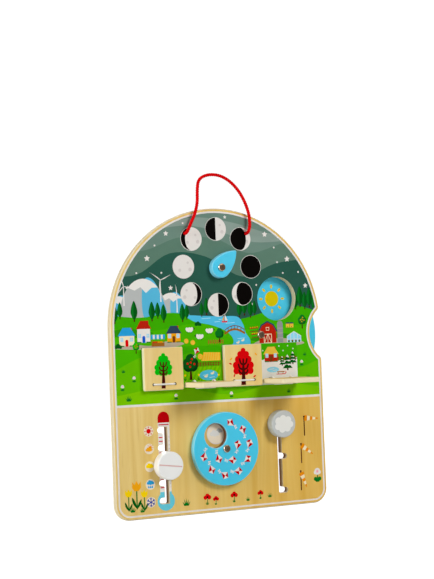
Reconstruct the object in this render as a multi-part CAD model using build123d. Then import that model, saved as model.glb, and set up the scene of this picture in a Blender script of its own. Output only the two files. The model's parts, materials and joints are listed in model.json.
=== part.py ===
from build123d import *
import math
import os

# Weather learning board: a hanging plywood panel with a moon pointer, a weather disc behind a window,
# four season tiles on elastic hinges, a rain disc and two knobs that slide in notched slots.
# Millimetres. X runs right, Y to the back, Z up. The origin is the middle of the panel's bottom edge.

# Plywood panel: straight sides under a half-round top
BOARD_W = 300.0
BOARD_H = 383.0
BOARD_T = 9.0
BOTTOM_CORNER_R = 19.0
BOARD_EDGE_R = 2.5

# Clearances
RUNNING_FIT = 0.05
FREE_FIT = 0.2
GLUE_FIT = 0.05
END_PLAY = 0.1
NEARLY = 0.01

# Pivot hardware: a socket-head bolt in a flanged barrel nut, whose sleeve is the axle
HEAD_D = 10.0
HEAD_T = 2.4
HEAD_DOME_R = 1.7
SOCKET_AF = 3.0
SOCKET_DEPTH = 1.4
SHANK_D = 4.0
SLEEVE_D = 6.0
SLEEVE_FLOOR = 1.0
FLANGE_D = 12.0
FLANGE_T = 2.0
FLANGE_DOME_R = 1.2
SPACER_D = 11.4
SPACER_T = 0.8

# Moon pointer: a drop whose round end turns on the axle
MOON_X = 1.9
MOON_FROM_TOP = 75.5
POINTER_R = 13.3
POINTER_REACH = 30.2
POINTER_TIP_R = 2.4
POINTER_FLANK_R = 46.0
POINTER_T = 8.4
POINTER_EDGE_R = 1.6
POINTER_ANGLE = 43.4

# Weather disc behind the panel, its window and the finger scallop in the panel's edge
WEATHER_DISC_R = 89.0
WEATHER_DISC_T = 4.0
WEATHER_EDGE_R = 0.8
WEATHER_RIM_INSET = 1.0
WEATHER_AXLE_Z = 220.9
WEATHER_GAP = 3.0
WINDOW_R = 28.3
WINDOW_DX = 25.1
WINDOW_DZ = 46.0
WINDOW_EDGE_R = 0.8
SCALLOP_R = 40.0
SCALLOP_DEPTH = 16.5
SCALLOP_LIP_R = 6.0

# Rain disc with its round finger window
RAIN_X = -0.5
RAIN_Z = 79.5
RAIN_R = 46.0
RAIN_T = 8.0
RAIN_EDGE_R = 1.2
RAIN_HOLE_R = 15.4
RAIN_HOLE_EDGE_R = 2.0
RAIN_HOLE_WEB = 1.9
RAIN_HOLE_ANGLE = 130.0

# Season tiles: the lower back edge is rounded so that a tile can swing down on its elastic
SEASONS = ("spring", "summer", "autumn", "winter")
OPEN_SEASONS = ("summer", "winter")
OPEN_ANGLE = 90.0
TILE_W = 53.5
TILE_H = 53.0
TILE_T = 6.5
TILE_SPACING = 2.5
TILE_ROW_X = 1.5
TILE_BOTTOM_Z = 156.5
TILE_STANDOFF = 0.6
TILE_EDGE_R = 1.5
TILE_HINGE_EDGE_R = 3.0
HINGE_BACK = 4.4
HINGE_UP = 4.0

# Elastic hinge cords: each is threaded through a tile and the panel, with its knots in blind pockets
ELASTIC_D = 1.8
ELASTIC_HOLE_D = 3.6
ELASTIC_HOLE_SPACING = 29.2
ELASTIC_SIDE_GAP = 0.1
ELASTIC_HOLE_UP = 7.6
ELASTIC_BEND_R = 1.2
ELASTIC_LIFT = 0.2
BRIDGE_START = 0.6
BRIDGE_END = 2.4
BRIDGE_BEND_R = 1.2
KNOT_D = 5.0
KNOT_L = 4.0
KNOT_ROUND_R = 1.6
POCKET_D = 8.0
POCKET_DEPTH = 5.0

# Notched slots: the left one has its notches on the left, the right one on the right
SLOT_X = 81.0
SLOT_W = 6.3
NOTCH_H = 7.6
NOTCH_REACH = 10.4
NOTCH_LOW_Z = 20.7
NOTCH_HIGH_Z = 107.5
THERMOMETER_NOTCHES = 5
WIND_NOTCHES = 3
SLOT_TOOTH_R = 1.2
SLOT_CORNER_R = 2.0

# Sliding knobs: a turned knob on a dowel post, held by a glide disc and a screw behind the panel
KNOB_D = 35.0
KNOB_T = 13.2
KNOB_EDGE_R = 1.8
KNOB_STANDOFF = 0.4
KNOB_SOCKET_DEPTH = 6.5
POST_SIDE_GAP = 0.25
GLIDE_D = 24.0
GLIDE_T = 4.0
GLIDE_EDGE_R = 0.8
SCREW_HEAD_D = 8.5
SCREW_HEAD_T = 2.2
SCREW_DOME_R = 1.4
SCREW_D = 3.0
SCREW_L = 10.0
WIND_REST_DROP = 1.5

# Handle rope: from the left hole over the top to the right hole, with a knot behind each hole
ROPE_D = 4.0
ROPE_HOLE_D = 5.0
ROPE_HOLE_X = 43.5
ROPE_HOLE_FROM_TOP = 31.8
ROPE_KNOT_RING_R = 3.3
ROPE_KNOT_TILT = 28.0
ROPE_KNOT_L = 8.0
ROPE_EXIT_RUN = 4.5
ROPE_ARC_SHARE = 0.45
ROPE_ROUTE = (
    (-42.3, -12.2, 355.2),
    (-38.5, -12.0, 362.5),
    (-31.5, -11.0, 375.0),
    (-26.6, -9.5, 389.5),
    (-26.2, -9.0, 405.0),
    (-24.0, -9.0, 419.5),
    (-10.5, -9.0, 425.6),
    (6.5, -9.0, 424.9),
    (21.5, -9.0, 417.3),
    (34.0, -9.0, 404.5),
    (42.5, -9.2, 389.0),
    (46.8, -10.0, 373.5),
    (46.0, -12.0, 361.8),
    (44.3, -12.2, 355.0),
)

# Places that follow from the sizes above
FRONT_Y = -BOARD_T / 2
BACK_Y = BOARD_T / 2
SPRING_Z = BOARD_H - BOARD_W / 2
MOON_Z = BOARD_H - MOON_FROM_TOP
ROPE_HOLE_Z = BOARD_H - ROPE_HOLE_FROM_TOP
WEATHER_AXLE_X = BOARD_W / 2 - WEATHER_RIM_INSET - WEATHER_DISC_R
WINDOW_X = WEATHER_AXLE_X + WINDOW_DX
WINDOW_Z = WEATHER_AXLE_Z + WINDOW_DZ
AXLE_HOLE_D = SLEEVE_D + 2 * FREE_FIT
AXLE_BORE_D = SLEEVE_D + 2 * RUNNING_FIT
RAIN_HOLE_OFFSET = AXLE_BORE_D / 2 + RAIN_HOLE_WEB + RAIN_HOLE_EDGE_R + RAIN_HOLE_R
TILE_BACK_Y = FRONT_Y - TILE_STANDOFF
TILE_FRONT_Y = TILE_BACK_Y - TILE_T
HINGE_Y = TILE_BACK_Y - HINGE_BACK
HINGE_Z = TILE_BOTTOM_Z + HINGE_UP
ELASTIC_Z = TILE_BOTTOM_Z + ELASTIC_HOLE_UP
ELASTIC_OFFSET = ELASTIC_D / 2 + ELASTIC_LIFT
ELASTIC_INSET = (ELASTIC_HOLE_D - ELASTIC_D) / 2 - ELASTIC_SIDE_GAP
POCKET_FLOOR_Y = BACK_Y - POCKET_DEPTH
KNOT_Y = POCKET_FLOOR_Y + GLUE_FIT + KNOT_L / 2
POST_D = SLOT_W - 2 * POST_SIDE_GAP
THERMOMETER_REST_Z = (NOTCH_LOW_Z + NOTCH_HIGH_Z) / 2
WIND_REST_Z = NOTCH_HIGH_Z - WIND_REST_DROP


def front(x, y, z):
    """Plane facing the viewer: local x is X, local y is Z and local z points out to the front."""
    return Plane(origin=(x, y, z), x_dir=(1, 0, 0), z_dir=(0, -1, 0))


def disc(diameter, thickness):
    return extrude(Circle(diameter / 2), amount=thickness)


def rounded_disc(diameter, thickness, front_r, back_r=0.0):
    solid = disc(diameter, thickness)
    rims = solid.edges().group_by(Axis.Z)
    solid = fillet(rims[-1], front_r)
    if back_r > 0:
        solid = fillet(solid.edges().group_by(Axis.Z)[0], back_r)
    return solid


def ring(outer_d, inner_d, thickness):
    return extrude(Circle(outer_d / 2) - Circle(inner_d / 2), amount=thickness)


def tile_x(season):
    pitch = TILE_W + TILE_SPACING
    return TILE_ROW_X + (SEASONS.index(season) - (len(SEASONS) - 1) / 2) * pitch


def elastic_holes_x(season):
    return [tile_x(season) + side * ELASTIC_HOLE_SPACING / 2 for side in (-1, 1)]


def elastic_legs_x(season):
    """The taut legs lie against the inner sides of their holes."""
    half = ELASTIC_HOLE_SPACING / 2 - ELASTIC_INSET
    return [tile_x(season) + side * half for side in (-1, 1)]


def notch_levels(count):
    pitch = (NOTCH_HIGH_Z - NOTCH_LOW_Z) / (count - 1)
    return [NOTCH_LOW_Z + i * pitch for i in range(count)]


def board_outline():
    outline = Pos(0, SPRING_Z / 2) * Rectangle(BOARD_W, SPRING_Z)
    outline += Pos(0, SPRING_Z) * Circle(BOARD_W / 2)
    outline = fillet(outline.vertices().group_by(Axis.Y)[0], BOTTOM_CORNER_R)
    scallop_x = BOARD_W / 2 - SCALLOP_DEPTH + SCALLOP_R
    scallop_centre = Vector(scallop_x, WEATHER_AXLE_Z)
    outline -= Pos(scallop_x, WEATHER_AXLE_Z) * Circle(SCALLOP_R)
    lips = outline.vertices().filter_by(
        lambda v: abs((Vector(v.X, v.Y) - scallop_centre).length - SCALLOP_R) < NEARLY
    )
    return fillet(lips, SCALLOP_LIP_R)


def slot_outline(side, count):
    """Vertical channel with notches on its outer side, at even levels from its bottom to its top."""
    low = NOTCH_LOW_Z - NOTCH_H / 2
    high = NOTCH_HIGH_Z + NOTCH_H / 2
    straight = NOTCH_REACH - NOTCH_H / 2
    shape = Pos(side * SLOT_X, (low + high) / 2) * Rectangle(SLOT_W, high - low)
    for level in notch_levels(count):
        shape += Pos(side * (SLOT_X + straight / 2), level) * Rectangle(straight, NOTCH_H)
        shape += Pos(side * (SLOT_X + straight), level) * Circle(NOTCH_H / 2)
    plain_x = side * (SLOT_X - SLOT_W / 2)
    tooth_x = side * (SLOT_X + SLOT_W / 2)
    corners = shape.vertices().filter_by(lambda v: abs(v.X - plain_x) < NEARLY)
    shape = fillet(corners, SLOT_CORNER_R)
    teeth = shape.vertices().filter_by(
        lambda v: abs(v.X - tooth_x) < NEARLY and low + NEARLY < v.Y < high - NEARLY
    )
    return fillet(teeth, SLOT_TOOTH_R)


def board_holes():
    holes = Pos(WINDOW_X, WINDOW_Z) * Circle(WINDOW_R)
    holes += slot_outline(-1, THERMOMETER_NOTCHES)
    holes += slot_outline(1, WIND_NOTCHES)
    for x, z in ((MOON_X, MOON_Z), (WEATHER_AXLE_X, WEATHER_AXLE_Z), (RAIN_X, RAIN_Z)):
        holes += Pos(x, z) * Circle(AXLE_HOLE_D / 2)
    for side in (-1, 1):
        holes += Pos(side * ROPE_HOLE_X, ROPE_HOLE_Z) * Circle(ROPE_HOLE_D / 2)
    for season in SEASONS:
        for x in elastic_holes_x(season):
            holes += Pos(x, ELASTIC_Z) * Circle(ELASTIC_HOLE_D / 2)
    return holes


def board_panel():
    panel = extrude(board_outline(), amount=BOARD_T / 2, both=True)
    rims = panel.edges().group_by(Axis.Z)
    panel = fillet(rims[0] + rims[-1], BOARD_EDGE_R)
    panel -= extrude(board_holes(), amount=BOARD_T, both=True)
    for season in SEASONS:
        for x in elastic_holes_x(season):
            panel -= Pos(x, ELASTIC_Z, -BACK_Y) * disc(POCKET_D, POCKET_DEPTH)
    window_rims = panel.edges().filter_by(GeomType.CIRCLE)
    window_rims = window_rims.filter_by(lambda e: abs(e.radius - WINDOW_R) < NEARLY)
    panel = fillet(window_rims.group_by(Axis.Z)[-1], WINDOW_EDGE_R)
    return front(0, 0, 0) * panel


def hex_socket():
    return extrude(RegularPolygon(SOCKET_AF / 2, 6, major_radius=False), amount=-SOCKET_DEPTH)


def pivot_bolt(shank):
    """Bolt with its head's seat at local z = 0 and its shank running back."""
    head = rounded_disc(HEAD_D, HEAD_T, HEAD_DOME_R)
    head -= Pos(0, 0, HEAD_T) * hex_socket()
    return head + disc(SHANK_D, -shank)


def barrel_nut(stack):
    """Nut with its flange behind local z = 0 and its sleeve reaching forward through the stack."""
    flange = Pos(0, 0, -FLANGE_T) * disc(FLANGE_D, FLANGE_T)
    flange = fillet(flange.edges().group_by(Axis.Z)[0], FLANGE_DOME_R)
    nut = flange + disc(SLEEVE_D, stack)
    bore = Pos(0, 0, SLEEVE_FLOOR) * disc(SHANK_D + 2 * GLUE_FIT, stack)
    return nut - bore


def bolt_length(stack):
    return stack - SLEEVE_FLOOR - END_PLAY


def front_stack(thickness):
    """From the panel's back face to the bolt's seat, for a part that turns in front of the panel."""
    return BOARD_T + SPACER_T + thickness + 2 * END_PLAY


def weather_stack():
    """From the nut's flange to the bolt's seat, for the disc that turns behind the panel."""
    return BOARD_T + WEATHER_GAP + WEATHER_DISC_T + END_PLAY + SPACER_T


def spacer(thickness):
    return ring(SPACER_D, AXLE_HOLE_D, thickness)


def pointer_outline():
    """Round end and small tip joined by two long arcs that touch both."""
    tip_x = POINTER_REACH - POINTER_TIP_R
    to_pivot = POINTER_FLANK_R - POINTER_R
    to_tip = POINTER_FLANK_R - POINTER_TIP_R
    arc_x = (to_pivot**2 - to_tip**2 + tip_x**2) / (2 * tip_x)
    arc_y = math.sqrt(to_pivot**2 - arc_x**2)
    touch_round = Vector(-arc_x, arc_y) * (POINTER_R / to_pivot)
    touch_tip = Vector(tip_x, 0) + Vector(tip_x - arc_x, arc_y) * (POINTER_TIP_R / to_tip)
    flank_dir = (touch_round + touch_tip) * 0.5 - Vector(arc_x, -arc_y)
    flank_mid = Vector(arc_x, -arc_y) + flank_dir.normalized() * POINTER_FLANK_R
    upper = ThreePointArc(touch_round, flank_mid, touch_tip)
    tip = ThreePointArc(touch_tip, (POINTER_REACH, 0), (touch_tip.X, -touch_tip.Y))
    lower = ThreePointArc(
        (touch_tip.X, -touch_tip.Y), (flank_mid.X, -flank_mid.Y), (touch_round.X, -touch_round.Y)
    )
    round_end = ThreePointArc((touch_round.X, -touch_round.Y), (-POINTER_R, 0), touch_round)
    return make_face([upper, tip, lower, round_end])


def moon_pointer():
    drop = extrude(Rot(0, 0, POINTER_ANGLE) * pointer_outline(), amount=POINTER_T)
    drop = fillet(drop.edges().group_by(Axis.Z)[-1], POINTER_EDGE_R)
    drop -= disc(AXLE_BORE_D, POINTER_T)
    return front(MOON_X, FRONT_Y - SPACER_T - END_PLAY, MOON_Z) * drop


def rain_disc():
    plate = rounded_disc(2 * RAIN_R, RAIN_T, RAIN_EDGE_R, RAIN_EDGE_R)
    angle = math.radians(RAIN_HOLE_ANGLE)
    hole_at = Pos(RAIN_HOLE_OFFSET * math.cos(angle), RAIN_HOLE_OFFSET * math.sin(angle))
    plate -= hole_at * disc(2 * RAIN_HOLE_R, RAIN_T)
    hole_rims = plate.edges().filter_by(GeomType.CIRCLE)
    hole_rims = hole_rims.filter_by(lambda e: abs(e.radius - RAIN_HOLE_R) < NEARLY)
    plate = fillet(hole_rims.group_by(Axis.Z)[-1], RAIN_HOLE_EDGE_R)
    plate -= disc(AXLE_BORE_D, RAIN_T)
    return front(RAIN_X, FRONT_Y - SPACER_T - END_PLAY, RAIN_Z) * plate


def weather_disc():
    plate = rounded_disc(2 * WEATHER_DISC_R, WEATHER_DISC_T, WEATHER_EDGE_R, WEATHER_EDGE_R)
    plate -= disc(AXLE_BORE_D, WEATHER_DISC_T)
    return front(WEATHER_AXLE_X, BACK_Y + WEATHER_GAP + WEATHER_DISC_T, WEATHER_AXLE_Z) * plate


def front_axle_bolts():
    bolts = []
    for x, z, thickness in ((MOON_X, MOON_Z, POINTER_T), (RAIN_X, RAIN_Z, RAIN_T)):
        stack = front_stack(thickness)
        bolts.append(front(x, BACK_Y - stack, z) * pivot_bolt(bolt_length(stack)))
    return Compound(bolts)


def front_axle_nuts():
    nuts = []
    for x, z, thickness in ((MOON_X, MOON_Z, POINTER_T), (RAIN_X, RAIN_Z, RAIN_T)):
        nuts.append(front(x, BACK_Y, z) * barrel_nut(front_stack(thickness)))
    return Compound(nuts)


def front_spacers():
    places = ((MOON_X, MOON_Z), (RAIN_X, RAIN_Z))
    return Compound([front(x, FRONT_Y, z) * spacer(SPACER_T) for x, z in places])


def weather_axle_bolt():
    return front(WEATHER_AXLE_X, FRONT_Y, WEATHER_AXLE_Z) * pivot_bolt(bolt_length(weather_stack()))


def weather_axle_nut():
    return front(WEATHER_AXLE_X, FRONT_Y + weather_stack(), WEATHER_AXLE_Z) * barrel_nut(weather_stack())


def weather_spacer():
    thickness = WEATHER_GAP - END_PLAY
    return front(WEATHER_AXLE_X, BACK_Y + thickness, WEATHER_AXLE_Z) * spacer(thickness)


def weather_washer():
    return front(WEATHER_AXLE_X, FRONT_Y + weather_stack(), WEATHER_AXLE_Z) * spacer(SPACER_T)


def swing(piece):
    """Closed tile turned down about its hinge line."""
    return piece.rotate(Axis((0, HINGE_Y, HINGE_Z), (1, 0, 0)), OPEN_ANGLE)


def season_tile(season):
    centre = Pos((TILE_BACK_Y + TILE_FRONT_Y) / 2, TILE_BOTTOM_Z + TILE_H / 2)
    profile = centre * Rectangle(TILE_T, TILE_H)
    bottom = profile.vertices().group_by(Axis.Y)[0]
    profile = fillet(bottom.sort_by(Axis.X)[-1], TILE_HINGE_EDGE_R)
    front_corners = profile.vertices().group_by(Axis.X)[0]
    profile = fillet(front_corners, TILE_EDGE_R)
    back_top = profile.vertices().group_by(Axis.Y)[-1].sort_by(Axis.X)[-1]
    profile = fillet(back_top, TILE_EDGE_R)
    tile = extrude(Plane.YZ * profile, amount=TILE_W / 2, both=True)
    ends = tile.edges().group_by(Axis.X)
    tile = fillet(ends[0] + ends[-1], TILE_EDGE_R)
    for side in (-1, 1):
        x = side * ELASTIC_HOLE_SPACING / 2
        tile -= front(x, TILE_BACK_Y, ELASTIC_Z) * disc(ELASTIC_HOLE_D, TILE_T)
    tile = Pos(tile_x(season), 0, 0) * tile
    return swing(tile) if season in OPEN_SEASONS else tile


def tube(path, diameter):
    section = Plane(origin=path @ 0, z_dir=path % 0) * Circle(diameter / 2)
    return sweep(section, path=path)


def elastic_side(season, x):
    """Points of one leg from its knot to the tile's face, with the bend radius at each inner point."""
    knot = Vector(x, KNOT_Y, ELASTIC_Z)
    face_y = TILE_FRONT_Y - ELASTIC_OFFSET
    if season not in OPEN_SEASONS:
        return [knot, Vector(x, face_y, ELASTIC_Z)], [ELASTIC_BEND_R]
    hole_y = HINGE_Y - (ELASTIC_HOLE_UP - HINGE_UP)
    top_z = HINGE_Z + HINGE_BACK + ELASTIC_OFFSET
    under_z = HINGE_Z + HINGE_BACK - TILE_T - ELASTIC_OFFSET
    points = [
        knot,
        Vector(x, FRONT_Y - BRIDGE_START, ELASTIC_Z),
        Vector(x, FRONT_Y - BRIDGE_END, top_z),
        Vector(x, hole_y, top_z),
        Vector(x, hole_y, under_z),
    ]
    return points, [BRIDGE_BEND_R, BRIDGE_BEND_R, ELASTIC_BEND_R, ELASTIC_BEND_R]


def hinge_elastic(season):
    left, right = elastic_legs_x(season)
    left_points, left_radii = elastic_side(season, left)
    right_points, right_radii = elastic_side(season, right)
    path = FilletPolyline(left_points + right_points[::-1], radius=left_radii + right_radii[::-1])
    cord = tube(path, ELASTIC_D)
    knot = Pos(0, 0, -KNOT_L / 2) * disc(KNOT_D, KNOT_L)
    knot = fillet(knot.edges(), KNOT_ROUND_R)
    for x in (left, right):
        cord += front(x, KNOT_Y, ELASTIC_Z) * knot
    return cord


def slider_knob(x, z):
    knob = rounded_disc(KNOB_D, KNOB_T, KNOB_EDGE_R, KNOB_EDGE_R)
    knob -= disc(POST_D + 2 * GLUE_FIT, KNOB_SOCKET_DEPTH)
    return front(x, FRONT_Y - KNOB_STANDOFF, z) * knob


def post_end_y():
    return BACK_Y + KNOB_STANDOFF + GLIDE_T + END_PLAY


def slider_post(x, z):
    length = KNOB_SOCKET_DEPTH - GLUE_FIT + KNOB_STANDOFF + post_end_y() - FRONT_Y
    post = disc(POST_D, length)
    post -= disc(SCREW_D + 2 * GLUE_FIT, SCREW_L + END_PLAY)
    return front(x, post_end_y(), z) * post


def slider_glide(x, z):
    glide = rounded_disc(GLIDE_D, GLIDE_T, GLIDE_EDGE_R, GLIDE_EDGE_R)
    glide -= disc(POST_D + 2 * RUNNING_FIT, GLIDE_T)
    return front(x, BACK_Y + KNOB_STANDOFF + GLIDE_T, z) * glide


def slider_screw(x, z):
    head = Pos(0, 0, -SCREW_HEAD_T) * disc(SCREW_HEAD_D, SCREW_HEAD_T)
    head = fillet(head.edges().group_by(Axis.Z)[0], SCREW_DOME_R)
    return front(x, post_end_y(), z) * (head + disc(SCREW_D, SCREW_L))


def rope_points():
    """Route from the front of the left hole to the front of the right one."""
    left, right = (
        [Vector(side * ROPE_HOLE_X, FRONT_Y - run, ROPE_HOLE_Z) for run in (0, ROPE_EXIT_RUN)]
        for side in (-1, 1)
    )
    return left + [Vector(*point) for point in ROPE_ROUTE] + right[::-1]


def rope_radii(points):
    radii = []
    for before, here, after in zip(points, points[1:], points[2:]):
        turn = math.radians((here - before).get_angle(after - here))
        run = min((here - before).length, (after - here).length)
        radii.append(ROPE_ARC_SHARE * run / math.tan(turn / 2))
    return radii


def handle_rope():
    points = rope_points()
    radii = rope_radii(points)
    path = FilletPolyline(points, radius=radii)
    rope = tube(path, ROPE_D)
    section_area = math.pi * ROPE_D**2 / 4
    print("rope radii", [round(radius, 1) for radius in radii])
    print("rope length", round(path.length, 1), "volume over section times length",
          round(rope.volume / (section_area * path.length), 4))
    return rope


def rope_knots():
    """Rope ends: each runs through its hole and is tied in a knot against the panel's back."""
    core = Pos(0, 0, -BOARD_T - ROPE_KNOT_L) * disc(ROPE_D, BOARD_T + ROPE_KNOT_L)
    loop_z = -BOARD_T - GLUE_FIT - ROPE_KNOT_L / 2
    for tilt in (-ROPE_KNOT_TILT, ROPE_KNOT_TILT):
        core += Pos(0, 0, loop_z) * Rot(tilt, 0, 0) * Torus(ROPE_KNOT_RING_R, ROPE_D / 2)
    places = [side * ROPE_HOLE_X for side in (-1, 1)]
    return Compound([front(x, FRONT_Y, ROPE_HOLE_Z) * core for x in places])


def all_parts():
    parts = {
        "board_panel": board_panel(),
        "moon_pointer": moon_pointer(),
        "weather_disc": weather_disc(),
        "rain_disc": rain_disc(),
        "front_axle_bolts": front_axle_bolts(),
        "front_axle_nuts": front_axle_nuts(),
        "front_spacers": front_spacers(),
        "weather_axle_bolt": weather_axle_bolt(),
        "weather_axle_nut": weather_axle_nut(),
        "weather_spacer": weather_spacer(),
        "weather_washer": weather_washer(),
        "handle_rope": handle_rope(),
        "rope_knots": rope_knots(),
    }
    for season in SEASONS:
        parts[f"{season}_tile"] = season_tile(season)
        parts[f"{season}_elastic"] = hinge_elastic(season)
    sliders = (("thermometer", -SLOT_X, THERMOMETER_REST_Z), ("wind", SLOT_X, WIND_REST_Z))
    for name, x, z in sliders:
        parts[f"{name}_knob"] = slider_knob(x, z)
        parts[f"{name}_post"] = slider_post(x, z)
        parts[f"{name}_glide"] = slider_glide(x, z)
        parts[f"{name}_screw"] = slider_screw(x, z)
    return parts


os.makedirs("parts", exist_ok=True)
for node, solid in all_parts().items():
    export_step(solid, f"parts/{node}.step")
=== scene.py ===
import json
import math
import bpy
import numpy as np
from mathutils import Matrix, Vector
from mathutils.geometry import delaunay_2d_cdt

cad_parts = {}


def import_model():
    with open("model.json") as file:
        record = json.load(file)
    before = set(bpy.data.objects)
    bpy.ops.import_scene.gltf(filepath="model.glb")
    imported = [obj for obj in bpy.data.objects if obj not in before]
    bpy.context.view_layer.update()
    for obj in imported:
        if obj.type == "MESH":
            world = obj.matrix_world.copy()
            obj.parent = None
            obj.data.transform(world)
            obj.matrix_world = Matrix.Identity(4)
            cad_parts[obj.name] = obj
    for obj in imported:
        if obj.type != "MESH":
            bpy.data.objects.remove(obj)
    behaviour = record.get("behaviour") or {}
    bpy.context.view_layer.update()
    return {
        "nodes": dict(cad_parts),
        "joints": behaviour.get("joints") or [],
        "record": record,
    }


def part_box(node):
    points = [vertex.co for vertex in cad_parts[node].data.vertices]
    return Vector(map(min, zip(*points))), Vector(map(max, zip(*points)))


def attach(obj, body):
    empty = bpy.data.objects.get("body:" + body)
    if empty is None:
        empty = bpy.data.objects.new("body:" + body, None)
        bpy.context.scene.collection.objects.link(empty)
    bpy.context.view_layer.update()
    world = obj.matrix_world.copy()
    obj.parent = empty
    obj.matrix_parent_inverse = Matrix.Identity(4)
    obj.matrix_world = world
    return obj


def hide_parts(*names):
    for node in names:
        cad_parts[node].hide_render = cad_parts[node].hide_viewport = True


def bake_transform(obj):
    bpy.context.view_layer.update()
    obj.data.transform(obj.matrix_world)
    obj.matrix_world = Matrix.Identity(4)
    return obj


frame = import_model()

# Weather learning board: finishes, prints, cords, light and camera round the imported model.
# Prints and cords are written in millimetres, as (across, up) on a face or (x, y, z) in the frame.
MM = 0.001
SIDES = (-1, 1)
SEASONS = ("spring", "summer", "autumn", "winter")
OPEN_SEASONS = ("summer", "winter")

# Places that the model gives
JOINTS = {joint["name"]: joint for joint in frame["joints"]}


def corners(node):
    low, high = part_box(node)
    return low / MM, high / MM


def axle(joint):
    x, _, z = JOINTS[joint]["pos_m"]
    return x / MM, z / MM


PANEL_LOW, PANEL_HIGH = corners("board_panel")
FRONT_Y = PANEL_LOW.y
BACK_Y = PANEL_HIGH.y
ARCH_R = PANEL_HIGH.x
ARCH_Z = PANEL_HIGH.z - ARCH_R
MOON_AXLE = axle("moon_pointer_turn")
WEATHER_AXLE = axle("weather_disc_turn")
RAIN_AXLE = axle("rain_disc_turn")

# Edge of the panel
CORNER_R = 19.0
SCALLOP_R = 40.0
SCALLOP_DEPTH = 16.5
LIP_R = 6.0

# Holes in the panel
WINDOW_AT = (WEATHER_AXLE[0] + 25.1, WEATHER_AXLE[1] + 46.0)
WINDOW_CUT_R = 28.4
BOLT_CUT_R = 5.1
SPACER_CUT_R = 5.9
ROPE_HOLE_R = 2.5
ROPE_HOLE_X = 43.5
ROPE_HOLE_Z = PANEL_HIGH.z - 31.8
SLOT_X = 81.0
SLOT_W = 6.3
NOTCH_H = 7.6
NOTCH_REACH = 10.4
NOTCH_LOW_Z = 20.7
NOTCH_HIGH_Z = 107.5
SLOT_NOTCHES = {-1: 5, 1: 3}
CUT_MARGIN = 0.25

# Hole in the rain disc
RAIN_HOLE_OFFSET = 22.35
RAIN_HOLE_ANGLE = 130.0
RAIN_HOLE_R = 15.4
RAIN_HOLE_EDGE_R = 2.0
RAIN_HOLE_MARGIN = 0.2

# Season tiles and their elastic
TILE_W = 53.5
TILE_H = 53.0
TILE_PITCH = 56.0
TILE_ROW_X = 1.5
TILE_BOTTOM_Z = 156.5
TILE_FRONT_Y = corners("spring_tile")[0].y
TILE_BACK_Y = corners("spring_tile")[1].y
HINGE_Y, HINGE_Z = (JOINTS["spring_tile_fold"]["pos_m"][i] / MM for i in (1, 2))
ELASTIC_HOLE_R = 1.8
ELASTIC_HOLE_X = 14.6
ELASTIC_LEG_X = 13.8
ELASTIC_UP = 7.6
ELASTIC_D = 1.8
ELASTIC_COVER = 0.2

# Layer of ink on a face
INK_T = 0.05
INK_LIFT = 0.01

# Printed border and the line under the picture
BORDER_OUTER = 3.6
BORDER_INNER = 5.75
DIVIDER_Z = 139.2
DIVIDER_H = 2.9

INKS = {
    "white": "#e6e0da", "moon": "#e2ddd7", "crater": "#d3ccc7", "black": "#040201",
    "night": "#2a584a", "dusk": "#5c7d6c", "haze": "#6c887b", "mist": "#889b91",
    "hill_blue": "#57b6d8", "hill_grey": "#b7bab8", "snow": "#e8e4de",
    "meadow": "#3cab00", "field": "#48b400", "lawn": "#62ba00", "light_lawn": "#7ac400", "shade": "#2f9008",
    "leaf": "#0a7220", "deep_leaf": "#045614", "dark_leaf": "#033c10", "fresh": "#06b80c",
    "water": "#4fbde2", "ripple": "#9fdcf0", "path": "#b7aa97", "stone": "#8f9293",
    "brown": "#7a3f12", "bark": "#470a06", "plank": "#a0621f", "rust": "#c85b12",
    "red": "#d80209", "brick": "#b8200c", "pink": "#f0a7b4", "orange": "#e48a0c", "amber": "#f0a514",
    "yellow": "#f4d00a", "straw": "#e9c242", "cream": "#f1e3bd", "sun": "#dcc704", "ray": "#e4c516",
    "blue": "#1558c8", "navy": "#0c349c", "sky_blue": "#269fd8", "pane": "#8fd6ee", "slate": "#2e435a",
    "icon": "#eadcc4", "cap": "#bd0008", "tick": "#cb2c3a", "tube": "#e6e2dc", "bulb": "#66c8dc",
    "beige": "#f4e8d0", "cloud": "#e4e4df", "grey_cloud": "#a9adb0", "rose": "#dab0ac",
}


def linear(colour):
    """Linear red, green and blue of a hex colour."""
    parts = [int(colour[i:i + 2], 16) / 255 for i in (1, 3, 5)]
    return [p / 12.92 if p <= 0.04045 else ((p + 0.055) / 1.055) ** 2.4 for p in parts]


# Outlines
def polar(r, angle):
    turn = math.radians(angle)
    return r * math.cos(turn), r * math.sin(turn)


def bearing(start, end):
    return math.degrees(math.atan2(end[1] - start[1], end[0] - start[0]))


def turned(points, angle):
    c, s = polar(1, angle)
    return [(u * c - v * s, u * s + v * c) for u, v in points]


def arc(u, v, r, start=0.0, end=360.0):
    steps = max(4, round(abs(end - start) / 360 * (12 + 7 * math.sqrt(r))))
    angles = np.radians(np.linspace(start, end, steps + 1))
    return [(u + r * math.cos(a), v + r * math.sin(a)) for a in angles]


def disc(u, v, r):
    return arc(u, v, r)[:-1]


def discs(*places):
    return [disc(*place) for place in places]


def dots(r, *places):
    return [disc(u, v, r) for u, v in places]


def oval(u, v, ru, rv):
    return [(u + ru * x / rv, v + y) for x, y in disc(0, 0, rv)]


def rect(u0, v0, u1, v1):
    return [(u0, v0), (u1, v0), (u1, v1), (u0, v1)]


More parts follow.
